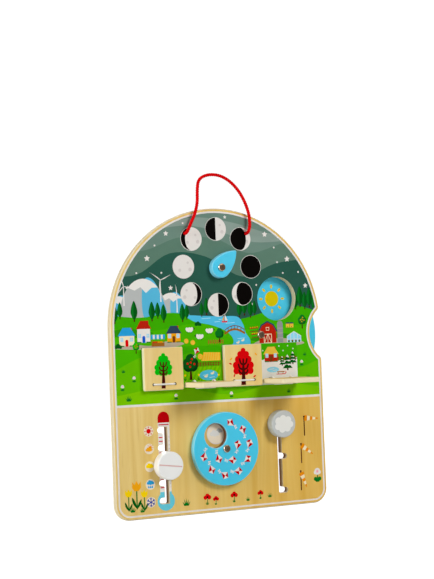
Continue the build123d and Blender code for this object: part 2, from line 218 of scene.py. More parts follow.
def curve(*points, closed=False, steps=6):
    """A smooth line through the points."""
    p = np.array(points, float)
    if closed:
        p = np.vstack([p[-1:], p, p[:2]])
    else:
        p = np.vstack([2 * p[0] - p[1], p, 2 * p[-1] - p[-2]])
    t = np.linspace(0, 1, steps, endpoint=False)[:, None]
    runs = [
        b + (c - a) * t / 2 + (2 * a - 5 * b + 4 * c - d) * t**2 / 2 + (3 * b - a - 3 * c + d) * t**3 / 2
        for a, b, c, d in zip(p, p[1:], p[2:], p[3:])
    ]
    if not closed:
        runs.append(p[-2:-1])
    return [tuple(q) for q in np.vstack(runs)]


def loop(*points):
    return curve(*points, closed=True)


def ridge(floor, *points):
    """Land under a smooth skyline."""
    top = curve(*points)
    return top + [(top[-1][0], floor), (top[0][0], floor)]


def line(width, *points):
    """A drawn line: a bar for each run, and a dot at each point."""
    bars = dots(width / 2, *points)
    for (u0, v0), (u1, v1) in zip(points, points[1:]):
        length = math.hypot(u1 - u0, v1 - v0)
        du = (v0 - v1) / length * width / 2
        dv = (u1 - u0) / length * width / 2
        bars.append([(u0 + du, v0 + dv), (u0 - du, v0 - dv), (u1 - du, v1 - dv), (u1 + du, v1 + dv)])
    return bars


class Brush:
    """Paints flat shapes over each other, given about its own place on a print."""

    def __init__(self, shapes, u=0.0, v=0.0, size=1.0, turn=0.0, flip=False, clip=None):
        self.shapes = shapes
        self.place = (u, v, size, turn, flip)
        self.clip = clip

    def to_print(self, points):
        u, v, size, turn, flip = self.place
        side = -1 if flip else 1
        return [(u + x * size, v + y * size) for x, y in turned([(side * x, y) for x, y in points], turn)]

    def paint(self, colour, *outlines):
        for points in outlines:
            self.shapes.append((colour, self.to_print(points), self.clip))

    def draw(self, colour, width, *points):
        self.paint(colour, *line(width, *points))

    def at(self, x, y, size=1.0, turn=0.0, flip=False):
        u, v, scale, angle, flipped = self.place
        (u, v), = self.to_print([(x, y)])
        return Brush(self.shapes, u, v, scale * size, angle + turn, flip != flipped, self.clip)

    def within(self, outline):
        """The same brush, kept inside an outline of its own."""
        return Brush(self.shapes, *self.place, self.to_print(outline))


def scatter(b, motif, places, *looks):
    """One motif at several places, each with its size, turn and flip as far as they are given."""
    for place in places:
        motif(b.at(*place), *looks)


def inside(points, outline):
    """Which of the points lie inside an outline."""
    a = np.array(outline)
    b = np.roll(a, -1, axis=0)
    found = np.zeros(len(points), bool)
    near = np.flatnonzero(((points >= a.min(0)) & (points <= a.max(0))).all(axis=1))
    u, v = points[near, 0, None], points[near, 1, None]
    spans = (a[:, 1] > v) != (b[:, 1] > v)
    rise = np.where(a[:, 1] == b[:, 1], 1, b[:, 1] - a[:, 1])
    crossing = a[:, 0] + (v - a[:, 1]) * (b[:, 0] - a[:, 0]) / rise
    found[near] = (spans & (u < crossing)).sum(axis=1) % 2 == 1
    return found


def flatten(shapes, regions, holes):
    """Triangles of a print, each with its topmost colour, sorted into the regions that hold them."""
    places, edges = [], []
    clips = {id(clip): clip for _, _, clip in shapes if clip is not None}
    outlines = [points for _, points, _ in shapes]
    for outline in [*regions.values(), *holes, *clips.values(), *outlines]:
        first = len(places)
        count = len(outline)
        places += [Vector(p) for p in outline]
        edges += [(first + i, first + (i + 1) % count) for i in range(count)]
    places, _, triangles = delaunay_2d_cdt(places, edges, [], 0, 1e-4, False)[:3]
    places, triangles = np.array(places), np.array(triangles)
    middles = places[triangles].mean(axis=1)
    top = np.full(len(triangles), None, object)
    within = {key: inside(middles, clip) for key, clip in clips.items()}
    for colour, points, clip in shapes:
        hit = inside(middles, points)
        if clip is not None:
            hit &= within[id(clip)]
        top[hit] = colour
    inked = np.array([colour is not None for colour in top])
    for hole in holes:
        inked &= ~inside(middles, hole)
    made = {}
    for name, region in regions.items():
        kept = inked & inside(middles, region)
        made[name] = (places, triangles[kept], top[kept])
    return made


def new_object(name, vertices, faces, smooth=False):
    mesh = bpy.data.meshes.new(name)
    mesh.from_pydata([tuple(v) for v in vertices], [], [tuple(f) for f in faces])
    mesh.validate()
    if smooth:
        mesh.shade_smooth()
    piece = bpy.data.objects.new(name, mesh)
    bpy.context.scene.collection.objects.link(piece)
    return piece


def wall_faces(triangles, count):
    """Side walls along the open edges of a sheet whose far side is numbered count higher."""
    seen = dict.fromkeys(edge for a, b, c in triangles for edge in ((a, b), (b, c), (c, a)))
    return [(b, a, a + count, b + count) for a, b in seen if (b, a) not in seen]


def ink_layer(name, flat, face):
    """A thin closed slab of ink. face maps (across, up, out) on the print to the frame."""
    places, triangles, colours = flat
    used, triangles = np.unique(triangles, return_inverse=True)
    triangles = triangles.reshape(-1, 3)
    places = places[used]
    a, b, c = (places[triangles[:, i]] for i in range(3))
    turn = np.cross(b - a, c - a) < 0
    triangles[turn] = triangles[turn][:, ::-1]
    count = len(places)
    outer = [face(u, v, INK_LIFT + INK_T) for u, v in places]
    inner = [face(u, v, INK_LIFT) for u, v in places]
    walls = wall_faces(triangles.tolist(), count)
    faces = triangles.tolist() + (triangles[:, ::-1] + count).tolist() + walls
    piece = new_object(name, outer + inner, faces)
    paint_faces(piece.data, colours, len(walls))
    flat_map(piece.data, np.vstack([places, places]))
    return piece


def paint_faces(mesh, colours, walls):
    """Colours for the outer faces, the inner ones and the walls, which take the first colour."""
    table = {colour: linear(INKS[colour]) + [1.0] for colour in set(colours)}
    rows = [table[colour] for colour in colours]
    per_corner = np.repeat(rows + rows, 3, axis=0)
    per_corner = np.vstack([per_corner, np.repeat([rows[0]], 4 * walls, axis=0)])
    layer = mesh.attributes.new("Ink", "FLOAT_COLOR", "CORNER")
    layer.data.foreach_set("color", per_corner.astype(np.float32).ravel())


def flat_map(mesh, places):
    """A map that lays the print out flat."""
    low = places.min(0)
    share = (places - low) / (places.max(0) - low)
    corner_of = np.zeros(len(mesh.loops), np.int32)
    mesh.loops.foreach_get("vertex_index", corner_of)
    layer = mesh.uv_layers.new(name="OFBake")
    layer.data.foreach_set("uv", share[corner_of].astype(np.float32).ravel())


def finish_print(piece, body, slot):
    piece.data.materials.append(INK)
    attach(piece, body)


def apply_print(name, art, region, holes, face, body, slot):
    """Lays a whole print on one piece."""
    flat = flatten(art.shapes, {name: region}, holes)[name]
    finish_print(ink_layer(name, flat, face), body, slot)


def face_at(front_y, centre=(0, 0)):
    """Front of a piece that stands upright, about a point on it."""

    def face(u, v, out):
        return Vector((centre[0] + u, front_y - out, centre[1] + v)) * MM

    return face


# Finishes
class Shader:
    """A node tree, with short ways to add nodes to it."""

    def __init__(self, owner, **sockets):
        owner.use_nodes = True
        self.owner = owner
        self.tree = owner.node_tree
        for socket, value in sockets.items():
            self.surface().inputs[socket.replace("_", " ")].default_value = value

    def surface(self):
        return self.tree.nodes["Principled BSDF"]

    def node(self, kind, values=(), **settings):
        """A new node. Its values are numbers, hex colours or the sockets that feed it."""
        new = self.tree.nodes.new("ShaderNode" + kind)
        for key, value in settings.items():
            setattr(new, key, value)
        for socket, value in dict(values).items():
            if isinstance(value, bpy.types.NodeSocket):
                self.tree.links.new(value, new.inputs[socket])
            else:
                new.inputs[socket].default_value = linear(value) + [1.0] if isinstance(value, str) else value
        return new

    def feed(self, socket, value):
        self.tree.links.new(value, self.surface().inputs[socket])

    def axes(self, space):
        """The three parts of a surface point's place or direction."""
        return self.node("SeparateXYZ", {0: self.node("TexCoord").outputs[space]}).outputs

    def facing(self, axis="Y"):
        """How squarely a surface faces along an axis, either way."""
        return self.maths("ABSOLUTE", self.axes("Normal")[axis])

    def sideways(self):
        """1 where a surface is a wall through the thickness, and 0 where it faces front or back."""
        return self.maths("LESS_THAN", self.facing(), 0.5)

    def maths(self, operation, *values):
        return self.node("Math", dict(enumerate(values)), operation=operation).outputs[0]

    def product(self, first, *others):
        for other in others:
            first = self.maths("MULTIPLY", first, other)
        return first

    def span(self, value, low, high, to_low=0.0, to_high=1.0):
        values = {"Value": value, "From Min": low, "From Max": high, "To Min": to_low, "To Max": to_high}
        return self.node("MapRange", values).outputs["Result"]

    def share(self, value, most):
        return self.span(value, 0, 1, 0, most)

    def noise(self, low, high, stretch, scale, detail=4.0, distortion=0.0):
        """Noise drawn out along the frame's axes, spread between two of its levels."""
        where = self.node("TexCoord").outputs["Object"]
        drawn = self.node("Mapping", {"Vector": where, "Scale": stretch}).outputs["Vector"]
        values = {"Vector": drawn, "Scale": scale, "Detail": detail, "Distortion": distortion}
        return self.span(self.node("TexNoise", values).outputs["Fac"], low, high)

    def mix(self, share, first, second, kind="MIX"):
        values = {0: share, 6: first, 7: second}
        return self.node("Mix", values, data_type="RGBA", blend_type=kind).outputs[2]

    def coat(self, colour, height, strength, depth, gloss=None):
        """Colour, relief and, as (noise, low, high), roughness of the surface."""
        self.feed("Base Color", colour)
        if gloss:
            self.feed("Roughness", self.span(gloss[0], 0, 1, *gloss[1:]))
        values = {"Height": height, "Strength": strength, "Distance": depth}
        self.feed("Normal", self.node("Bump", values).outputs["Normal"])
        return self.owner


WOOD_SHINE = 0.06
WOOD_ROUGHNESS = 0.55
PAINT_SHINE = 0.45
PAINT_ROUGHNESS = 0.4
EVEN = (1, 1, 1)
ALONG_X = (0.06, 1.0, 1.0)
ALONG_Y = (1.0, 0.06, 1.0)
ALONG_Z = (1.0, 1.0, 0.06)
# Cutter's scorch on the slot walls, with painted shade that deepens towards the back of each slot.
SCORCH_AND_SHADE = "#94561c"
SCORCH_AND_SHADE_SPAN = (-0.4, 1.3)
WALL_MARGIN = 0.1
HOLE_BROWN = "#7a481e"
BORE_PAINTED_SHADE = "#2c140a"
PLY_COUNT = 5
PAINTED_SHADE_DRIFT_X = 110
TILE_TONES = ("#eed594", "#e5c57a", "#d0a95e")
TILE_EDGE = "#ecdcb8"
CYAN_TONES_AND_HIGHLIGHT = ("#33c0e2", "#4acbea", "#a6e4f4")


def material(name, roughness, **sockets):
    return Shader(bpy.data.materials.new(name), Roughness=roughness, **sockets)


def wood_colour(s, stretch, pale, mid, dark):
    """Long fibres, broad bands of growth and fine pores."""
    bands = s.noise(0.3, 0.72, stretch, 34.0, 3.0, 1.4)
    fibres = s.noise(0.3, 0.72, stretch, 130.0, 5.0, 0.5)
    pores = s.noise(0.60, 0.78, stretch, 420.0, 3.0)
    tone = s.mix(bands, pale, mid)
    tone = s.mix(s.share(fibres, 0.4), tone, mid)
    return s.mix(s.share(pores, 0.3), tone, dark), fibres, pores


def coat_wood(s, colour, fibres, pores, roughness=WOOD_ROUGHNESS):
    relief = s.maths("SUBTRACT", fibres, pores)
    return s.coat(colour, relief, 0.12, 0.0001, (fibres, roughness - 0.06, roughness + 0.1))


def wood(name, stretch, tones, roughness):
    s = material(name, roughness, Specular_IOR_Level=WOOD_SHINE)
    return coat_wood(s, *wood_colour(s, stretch, *tones), roughness)


def slot_walls(s):
    """Walls of the two slots, browned by the cutter and, more so further in, darkened by painted shade."""
    where = s.axes("Object")
    high, low = NOTCH_HIGH_Z + NOTCH_H, NOTCH_LOW_Z - NOTCH_H
    beside = s.maths("COMPARE", s.maths("ABSOLUTE", where["X"]), SLOT_X * MM, (NOTCH_REACH + 1) * MM)
    level = s.maths("COMPARE", where["Z"], (high + low) / 2 * MM, (high - low) / 2 * MM)
    depth = s.span(where["Y"], FRONT_Y * MM, BACK_Y * MM, *SCORCH_AND_SHADE_SPAN)
    return s.product(beside, level, s.sideways(), depth)


def elastic_bores(s):
    """Walls of the holes that the elastic passes through in a closed tile, painted near black as shade."""
    where = s.axes("Object")
    along = s.maths("SUBTRACT", where["X"], (TILE_ROW_X - 2 * TILE_PITCH) * MM)
    along = s.maths("FLOORED_MODULO", along, TILE_PITCH * MM)
    from_middle = s.maths("ABSOLUTE", s.maths("SUBTRACT", along, TILE_PITCH / 2 * MM))
    reach = (ELASTIC_HOLE_R + WALL_MARGIN) * MM
    beside = s.maths("COMPARE", from_middle, ELASTIC_HOLE_X * MM, reach)
    level = s.maths("COMPARE", where["Z"], (TILE_BOTTOM_Z + ELASTIC_UP) * MM, reach)
    return s.product(beside, level, s.sideways())


def hole_wall(s, x, z, r):
    """Wall of a round hole, given by its centre and radius."""
    where = s.node("TexCoord").outputs["Object"]
    flat = s.node("VectorMath", {0: where, 1: (1, 0, 1)}, operation="MULTIPLY").outputs[0]
    away = s.node("VectorMath", {0: flat, 1: (x * MM, 0, z * MM)}, operation="DISTANCE").outputs["Value"]
    return s.product(s.maths("LESS_THAN", away, r * MM), s.sideways())


def plywood():
    """Veneer faces with upright grain, plies that alternate through the edge, and slot walls browned by the
    cutter and by painted shade.
    """
    s = material("plywood", WOOD_ROUGHNESS, Specular_IOR_Level=WOOD_SHINE)
    where = s.axes("Object")
    # Painted light and shade: the veneer is paler towards the left and darker, more golden, towards the
    # right.
    drift = s.span(where["X"], -PAINTED_SHADE_DRIFT_X * MM, PAINTED_SHADE_DRIFT_X * MM)
    pale = s.mix(drift, "#ecd28c", "#e9c76e")
    mid = s.mix(drift, "#dbb662", "#d6a848")
    face, fibres, pores = wood_colour(s, ALONG_Z, pale, mid, "#b98a3c")
    along, _, _ = wood_colour(s, ALONG_Z, "#e4dac0", "#dccdac", "#bfa67c")
    across, _, _ = wood_colour(s, ALONG_X, "#dccca2", "#d3bd8a", "#a98b54")
    depth = s.span(where["Y"], FRONT_Y * MM, BACK_Y * MM, 0, PLY_COUNT)
    crossed = s.span(s.maths("FLOORED_MODULO", depth, 2.0), 0.94, 1.06)
    edge = s.mix(crossed, along, across)
    glue = s.span(s.maths("PINGPONG", depth, 1.0), 0.05, 0.0, 0, 0.2)
    edge = s.mix(glue, edge, "#8a6a3c")
    tone = s.mix(s.span(s.facing(), 0.8, 0.96), edge, face)
    return coat_wood(s, s.mix(slot_walls(s), tone, SCORCH_AND_SHADE), fibres, pores)


def tile_wood(name, axis, stretch):
    """Pale board, paler still where its edges are cut; the axis is the one through its thickness."""
    s = material(name, WOOD_ROUGHNESS, Specular_IOR_Level=WOOD_SHINE)
    face, fibres, pores = wood_colour(s, stretch, *TILE_TONES)
    tone = s.mix(s.span(s.facing(axis), 0.6, 0.9), TILE_EDGE, face)
    if axis == "Y":
        # Painted shade: the walls of the elastic's holes are near black.
        tone = s.mix(elastic_bores(s), tone, BORE_PAINTED_SHADE)
    return coat_wood(s, tone, fibres, pores)


def paint(name, colour, pale, rim=None, hole=None):
    """Satin paint over wood: brushed film and paler patches; where given, a paler rim that is a painted
    highlight and a dark brown hole wall.
    """
    s = material(name, PAINT_ROUGHNESS, Specular_IOR_Level=PAINT_SHINE)
    film = s.noise(0.35, 0.7, EVEN, 55.0, 3.0)
    speck = s.noise(0.3, 0.7, EVEN, 900.0, 2.0)
    fibres = s.noise(0.3, 0.75, ALONG_Z, 160.0, 4.0)
    tone = s.mix(s.share(film, 0.22), colour, pale)
    # Painted highlight: the paint turns paler where its rim turns away from the front.
    if rim:
        tone = s.mix(s.span(s.facing(), 0.97, 0.75, 0, 0.45), tone, rim)
    if hole:
        tone = s.mix(hole_wall(s, *hole), tone, HOLE_BROWN)
    gloss = (film, PAINT_ROUGHNESS - 0.05, PAINT_ROUGHNESS + 0.08)
    return s.coat(tone, s.maths("ADD", fibres, speck), 0.06, 0.00008, gloss)


def ink():
    """Printed colour with a faint unevenness and a satin film."""
    s = material("ink", 0.55, Specular_IOR_Level=0.015)
    printed = s.node("Attribute", attribute_name="Ink").outputs["Color"]
    patches = s.noise(0.35, 0.7, EVEN, 40.0, 3.0)
    fibres = s.noise(0.3, 0.8, ALONG_Z, 220.0, 4.0)
    dull = s.mix(0.94, printed, printed, "MULTIPLY")
    return s.coat(s.mix(s.share(patches, 0.07), printed, dull), fibres, 0.05, 0.00006, (patches, 0.5, 0.62))


def metal(name, colour, worn, roughness, scale, rim=None):
    """Turned metal with fine scratches; where given, a brighter rim that is a painted reflection."""
    s = material(name, roughness, Metallic=1.0)
    scratches = s.noise(0.3, 0.75, (1, 0.2, 1), scale, 4.0)
    tone = s.mix(s.share(scratches, 0.3), colour, worn)
    if rim:
        tone = s.mix(s.span(s.facing(), 0.93, 0.7), tone, rim)
    return s.coat(tone, scratches, 0.04, 0.00005, (scratches, roughness * 0.7, roughness * 1.5))


def nylon():
    s = material("nylon", 0.5)
    film = s.noise(0.3, 0.7, EVEN, 300.0)
    return s.coat(s.mix(film, "#ece8df", "#dfdacd"), film, 0.05, 0.00005, (film, 0.42, 0.58))


def fibre(name, colour, dark, scale):
    """Spun yarn with fine dark gaps between its fibres."""
    s = material(name, 0.82, Specular_IOR_Level=0.08)
    yarn = s.noise(0.32, 0.68, (1, 1, 0.35), scale, 5.0, 0.4)
    fuzz = s.noise(0.3, 0.7, EVEN, scale * 3, 3.0)
    tone = s.mix(s.share(fuzz, 0.3), s.mix(yarn, dark, colour), colour)
    return s.coat(tone, s.maths("ADD", yarn, fuzz), 0.4, 0.00012)


RAIN_HOLE = [a + b for a, b in zip(RAIN_AXLE, polar(RAIN_HOLE_OFFSET, RAIN_HOLE_ANGLE))]
INK = ink()
FINISHES = {
    "plywood": plywood(),
    "tile_wood": tile_wood("tile_wood", "Y", ALONG_Z),
    "dowel_wood": wood("dowel_wood", ALONG_Z, ("#e2c993", "#d4b678", "#b18f55"), 0.6),
    "cyan_paint": paint("cyan_paint", *CYAN_TONES_AND_HIGHLIGHT),
    "white_paint": paint("white_paint", "#ececea", "#f1f1ef"),
    "grey_paint": paint("grey_paint", "#b9bcba", "#c2c5c3"),
    # Painted reflection: the bolt heads' dark brown face stands for dark surroundings and their pale rim for
    # a bright ring.
    "bolt_steel": metal("bolt_steel", "#5c4c3c", "#33271b", 0.12, 700.0, "#d2c3b4"),
    "screw_steel": metal("screw_steel", "#c9c8c4", "#8d8a86", 0.3, 900.0),
    "nylon": nylon(),
    "rope": fibre("rope", "#ec0005", "#bc0003", 1500.0),
    "elastic": fibre("elastic", "#f7f4ef", "#dcd8d0", 2400.0),
}
RAIN_PAINT = paint("rain_paint", *CYAN_TONES_AND_HIGHLIGHT, (*RAIN_HOLE, RAIN_HOLE_R + WALL_MARGIN))
OPEN_TILE_WOOD = tile_wood("open_tile_wood", "Z", ALONG_Y)
for subpart in frame["record"]["subparts"]:
    carried = frame["nodes"][subpart["node"]]
    carried.data.materials.clear()
    carried.data.materials.append(FINISHES[subpart["material_slot"]])
frame["nodes"]["rain_disc"].data.materials[0] = RAIN_PAINT
for season in OPEN_SEASONS:
    frame["nodes"][f"{season}_tile"].data.materials[0] = OPEN_TILE_WOOD


# Outline of the panel at a distance inside its edge
def between(centre_a, r_a, centre_b, r_b):
    """The upper meeting point of two circles."""
    a, b = Vector(centre_a), Vector(centre_b)
    apart = (b - a).length
    along = (apart**2 + r_a**2 - r_b**2) / (2 * apart)
    out = math.sqrt(r_a**2 - along**2)
    way = (b - a) / apart
    return a + way * along + Vector((-way.y, way.x)) * out


def panel_outline(inset):
    """Bottom edge, right side, scallop with its two lips, arch and left side."""
    low_x = ARCH_R - CORNER_R
    scallop = (ARCH_R - SCALLOP_DEPTH + SCALLOP_R, WEATHER_AXLE[1])
    lip_x = ARCH_R - LIP_R
    drop = math.sqrt((SCALLOP_R + LIP_R)**2 - (scallop[0] - lip_x)**2)
    low_lip = (lip_x, scallop[1] - drop)
    high_lip = between((0, ARCH_Z), ARCH_R - LIP_R, scallop, SCALLOP_R + LIP_R)
    lip_r = max(LIP_R - inset, 0.01)
    into = bearing(low_lip, scallop)
    out_of = bearing(high_lip, scallop)
    rim = bearing((0, ARCH_Z), high_lip)
    return [
        *arc(low_x, CORNER_R, CORNER_R - inset, -90, 0),
        *arc(*low_lip, lip_r, 0, into),
        *arc(*scallop, SCALLOP_R + inset, into + 180, 180 + out_of),
        *arc(*high_lip, lip_r, out_of, rim),
        *arc(0, ARCH_Z, ARCH_R - inset, rim, 180),
        *arc(-low_x, CORNER_R, CORNER_R - inset, 180, 270),
    ]


def picture_outline():
    """Inside of the border above the divider."""
    floor = DIVIDER_Z + DIVIDER_H / 2
    points = panel_outline(BORDER_INNER)
    return [(u, max(v, floor)) for u, v in points if v > floor or abs(u) > ARCH_R - CORNER_R - 1]


def slot_cuts(side):
    """Channel and notches of a slot."""
    half = SLOT_W / 2 + CUT_MARGIN
    tall = NOTCH_H / 2 + CUT_MARGIN
    cuts = [rect(side * SLOT_X - half, NOTCH_LOW_Z - tall, side * SLOT_X + half, NOTCH_HIGH_Z + tall)]
    end = side * (SLOT_X + NOTCH_REACH - NOTCH_H / 2)
    near, far = sorted((side * SLOT_X, end))
    for level in np.linspace(NOTCH_LOW_Z, NOTCH_HIGH_Z, SLOT_NOTCHES[side]):
        cuts += [rect(near, level - tall, far, level + tall), disc(end, level, tall)]
    return cuts


def tile_x(season):
    return TILE_ROW_X + (SEASONS.index(season) - 1.5) * TILE_PITCH


def panel_cuts():
    cuts = [disc(*WINDOW_AT, WINDOW_CUT_R), disc(*WEATHER_AXLE, BOLT_CUT_R)]
    cuts += dots(SPACER_CUT_R, MOON_AXLE, RAIN_AXLE)
    for side in SIDES:
        cuts.append(disc(side * ROPE_HOLE_X, ROPE_HOLE_Z, ROPE_HOLE_R))
        cuts += slot_cuts(side)
        for season in SEASONS:
            x = tile_x(season) + side * ELASTIC_HOLE_X
            cuts.append(disc(x, TILE_BOTTOM_Z + ELASTIC_UP, ELASTIC_HOLE_R))
    return cuts


# Moons in a ring
MOON_CENTRE = (0.0, 309.1)
MOON_RING_R = (47.7, 49.6)
MOON_R = 15.0
MOON_LINE = 0.6
MOON_SPOTS = ((9.2, -3.6, 2.4), (6.2, 5.0, 1.6), (-5.2, -4.4, 2.0))
MOON_STRAY = {0: (1.1, -0.7), 4: (0.5, 0.2), 5: (-2.6, 0.7), 6: (0.0, -0.9)}
GIBBOUS = 0.58
PHASES = ((0, 0), (1, -GIBBOUS), (1, 0), (1, GIBBOUS), (1, 1), (-1, GIBBOUS), (-1, 0), (-1, -GIBBOUS))


def lit_part(r, side, bulge):
    """Lit part of a moon: a half circle and a half oval, which bulges past the middle or falls short."""
    rim = arc(0, 0, r, -90, 90)
    back = [(-bulge * u, v) for u, v in reversed(rim)]
    return [(side * u, v) for u, v in rim + back[1:-1]]


def moon(b, side, bulge):
    b.paint("moon", disc(0, 0, MOON_R))
    b.paint("black", disc(0, 0, MOON_R - MOON_LINE))
    if side == 0:
        return
    lit = lit_part(MOON_R - MOON_LINE, side, bulge)
    b.paint("moon", lit)
    b.within(lit).paint("crater", *(disc(side * u, v, r) for u, v, r in MOON_SPOTS))


def moon_ring(b):
    for i, phase in enumerate(PHASES):
        place = b.at(*MOON_CENTRE).at(*polar(MOON_RING_R[i % 2], 360 / len(PHASES) * i))
        moon(place.at(*MOON_STRAY.get(i, (0, 0))), *phase)


# Motifs of the prints, drawn about their own foot or middle
def star(b, r):
    b.paint("white", [polar(r if i % 2 == 0 else r * 0.5, 90 + 36 * i) for i in range(10)])


def poplar(b):
    b.paint("bark", rect(-0.5, 0, 0.5, 2.5))
    b.paint("deep_leaf", loop((0, 13.6), (-2.0, 9), (-2.3, 5), (0, 1.4), (2.3, 5), (2.0, 9)))
    b.paint("leaf", loop((0, 13.2), (-1.7, 9), (-1.9, 5), (-0.4, 2.2), (-0.3, 7.5)))


def round_tree(b, leaf="leaf", shade="deep_leaf", fruit=None):
    b.paint("bark", [(-0.9, 0), (0.9, 0), (0.5, 7), (-0.5, 7)])
    b.paint(shade, *discs((1.6, 8.4, 3.4), (2.4, 10.6, 2.8), (-1.6, 8.2, 3.3)))
    b.paint(leaf, *discs((-2.2, 10, 3.2), (0.2, 12.4, 3.5), (0.4, 9.4, 3.0)))
    if fruit:
        b.paint(fruit, *dots(0.7, (-2, 10), (1, 12.6), (2.6, 9.6), (-0.4, 8), (0.2, 10.6)))


def bush(b):
    b.paint("deep_leaf", *discs((-2, 1.4, 1.8), (0.2, 2.2, 2.3), (2.4, 1.3, 1.7)), rect(-3.4, 0, 3.8, 1.2))


def tuft(b):
    for lean, height in ((-3.2, 3.4), (-1.7, 5.0), (0, 5.6), (1.7, 4.8), (3.2, 3.2)):
        b.paint("leaf", [(lean * 0.35 - 0.8, 0), (lean * 0.35 + 0.8, 0), (lean, height)])


def clover(b):
    b.draw("leaf", 0.5, (0, 0), (0, 3))
    b.paint("leaf", *dots(0.9, (-1, 1), (1, 1)))
    b.paint("white", *discs((0, 4.2, 1.5), (-1, 3.8, 0.8), (1, 3.8, 0.8)))
    b.paint("pink", disc(0, 4.2, 0.6))


def window(b, w, h):
    b.paint("white", rect(-w / 2 - 0.4, -0.4, w / 2 + 0.4, h + 0.4))
    b.paint("pane", rect(-w / 2, 0, w / 2, h))
    b.paint("white", rect(-0.2, 0, 0.2, h), rect(-w / 2, h / 2 - 0.2, w / 2, h / 2 + 0.2))


def house(b, wall, roof, door, w=14.0, h=10.0, rise=7.0):
    """Gabled house with a chimney, a door and windows."""
    b.paint("brick", rect(w * 0.22, h + 1, w * 0.22 + 2.2, h + rise))
    b.paint(wall, rect(-w / 2, 0, w / 2, h))
    b.paint(roof, [(-w / 2 - 1.3, h - 0.4), (w / 2 + 1.3, h - 0.4), (w / 4, h + rise), (-w / 4, h + rise)])
    b.paint(door, rect(-1.5, 0, 1.5, 4.8), arc(0, 4.8, 1.5, 0, 180))
    for side in SIDES:
        window(b.at(side * w * 0.32, 4.6), 2.6, 3.4)
    b.paint("leaf", rect(-w / 2, 0, -2.4, 0.9), rect(2.4, 0, w / 2, 0.9))


def stall(b, cloth):
    """Market stall under a striped awning."""
    b.paint("plank", rect(-7, 0, -6.2, 9), rect(6.2, 0, 7, 9), rect(-7, 0, 7, 3.6))
    for i in range(7):
        u = -7.7 + 2.2 * i
        b.paint(cloth if i % 2 == 0 else "white", rect(u, 8, u + 2.2, 11.5), disc(u + 1.1, 8, 1.1))
    b.paint("red", *dots(0.9, (-5, 4.2), (-3.2, 4.2), (-1.4, 4.2)))
    b.paint("orange", *dots(0.9, (0.6, 4.2), (2.4, 4.2), (4.2, 4.2)))


def barn(b):
    b.paint("stone", rect(10.2, 0, 16.2, 17), arc(13.2, 17, 3.0, 0, 180))
    b.paint("path", *(rect(10.2, v, 16.2, v + 0.5) for v in (4, 8.5, 13)))
    b.paint("brick", [(-9, 0), (9, 0), (9, 11), (6, 16), (0, 19), (-6, 16), (-9, 11)])
    b.draw("slate", 1.5, (-9.6, 10.8), (-6.3, 16.4), (0, 19.6), (6.3, 16.4), (9.6, 10.8))
    b.paint("cream", rect(-4.2, 0, 4.2, 8.4), rect(-1.7, 11.4, 1.7, 14.6))
    b.paint("brick", rect(-3.6, 0.4, -0.25, 7.8), rect(0.25, 0.4, 3.6, 7.8), rect(-1.2, 11.9, 1.2, 14.1))
    for side in SIDES:
        b.draw("cream", 0.5, (side * 3.5, 0.6), (side * 0.4, 7.6))


def glasshouse(b):
    b.paint("pane", [(-8, 0), (8, 0), (8, 6), (0, 10.5), (-8, 6)])
    for u in (-8, -4, 0, 4, 8):
        b.draw("white", 0.5, (u, 0), (u, 6 + 4.5 * (1 - abs(u) / 8)))
    b.draw("white", 0.6, (-8, 6), (0, 10.5), (8, 6))
    b.draw("white", 0.4, (-8, 3), (8, 3))
    b.paint("leaf", *dots(1.2, (-6, 1.1), (-2, 1.1), (2, 1.1), (6, 1.1)))
    b.paint("red", *dots(0.5, (-6.2, 1.8), (-1.8, 1.8), (2.3, 1.8), (5.8, 1.8)))


def fence(b, count, colour="plank"):
    reach = count * 3 + 0.6
    b.paint(colour, rect(-0.6, 1.4, reach, 2.1), rect(-0.6, 3.2, reach, 3.9))
    for u in range(0, 3 * count + 1, 3):
        b.paint(colour, [(u - 0.5, 0), (u + 0.5, 0), (u + 0.5, 4.6), (u, 5.4), (u - 0.5, 4.6)])


def sheep(b):
    for u in (-1.8, 1.8):
        b.draw("black", 0.6, (u, 0), (u, 2))
    b.paint("black", oval(4.0, 4.1, 1.3, 1.0))
    b.paint("snow", *dots(1.5, (-2.2, 3), (0, 3.9), (2.2, 3.2), (-1, 2.3), (1.3, 2.3), (-2.6, 3.8), (2.4, 4)))


def duck(b):
    b.paint("cream", oval(0, 0.8, 2.2, 1.1), disc(1.6, 2.4, 0.9))
    b.paint("orange", [(2.3, 2.6), (2.3, 2.0), (3.5, 2.2)])


def beehive(b):
    b.paint("plank", rect(-2, 0, -1.5, 1.2), rect(1.5, 0, 2, 1.2))
    b.paint("straw", rect(-2.4, 1, 2.4, 5.6))
    b.paint("amber", rect(-2.4, 2.4, 2.4, 2.8), rect(-2.4, 4.0, 2.4, 4.4))
    b.paint("slate", [(-3, 5.4), (3, 5.4), (2.2, 7), (-2.2, 7)])
    b.paint("bark", disc(0, 1.8, 0.5))


def bale(b):
    b.paint("amber", disc(0, 3, 3))
    for colour, r in (("straw", 2.6), ("amber", 1.7), ("straw", 1.2)):
        b.paint(colour, disc(-0.3, 3.1, r))


def boat(b):
    b.paint("red", [(-4.6, 1.8), (4.8, 1.8), (3.2, 0), (-3.4, 0)])
    b.paint("brown", rect(-0.25, 1.8, 0.25, 10.4))
    b.paint("snow", [(0.6, 2.6), (4.6, 2.6), (0.6, 10)])
    b.paint("amber", [(-0.6, 2.6), (-3.6, 2.6), (-0.6, 8.4)])


def bridge(b):
    deck = curve((-12, 0), (-6, 3.2), (0, 4.4), (6, 3.2), (12, 0))
    rail = [(u, v + 4) for u, v in deck]
    b.draw("plank", 2.4, *deck)
    for post in list(zip(deck, rail))[::4]:
        b.draw("brown", 0.7, *post)
    b.draw("brown", 0.9, *rail)


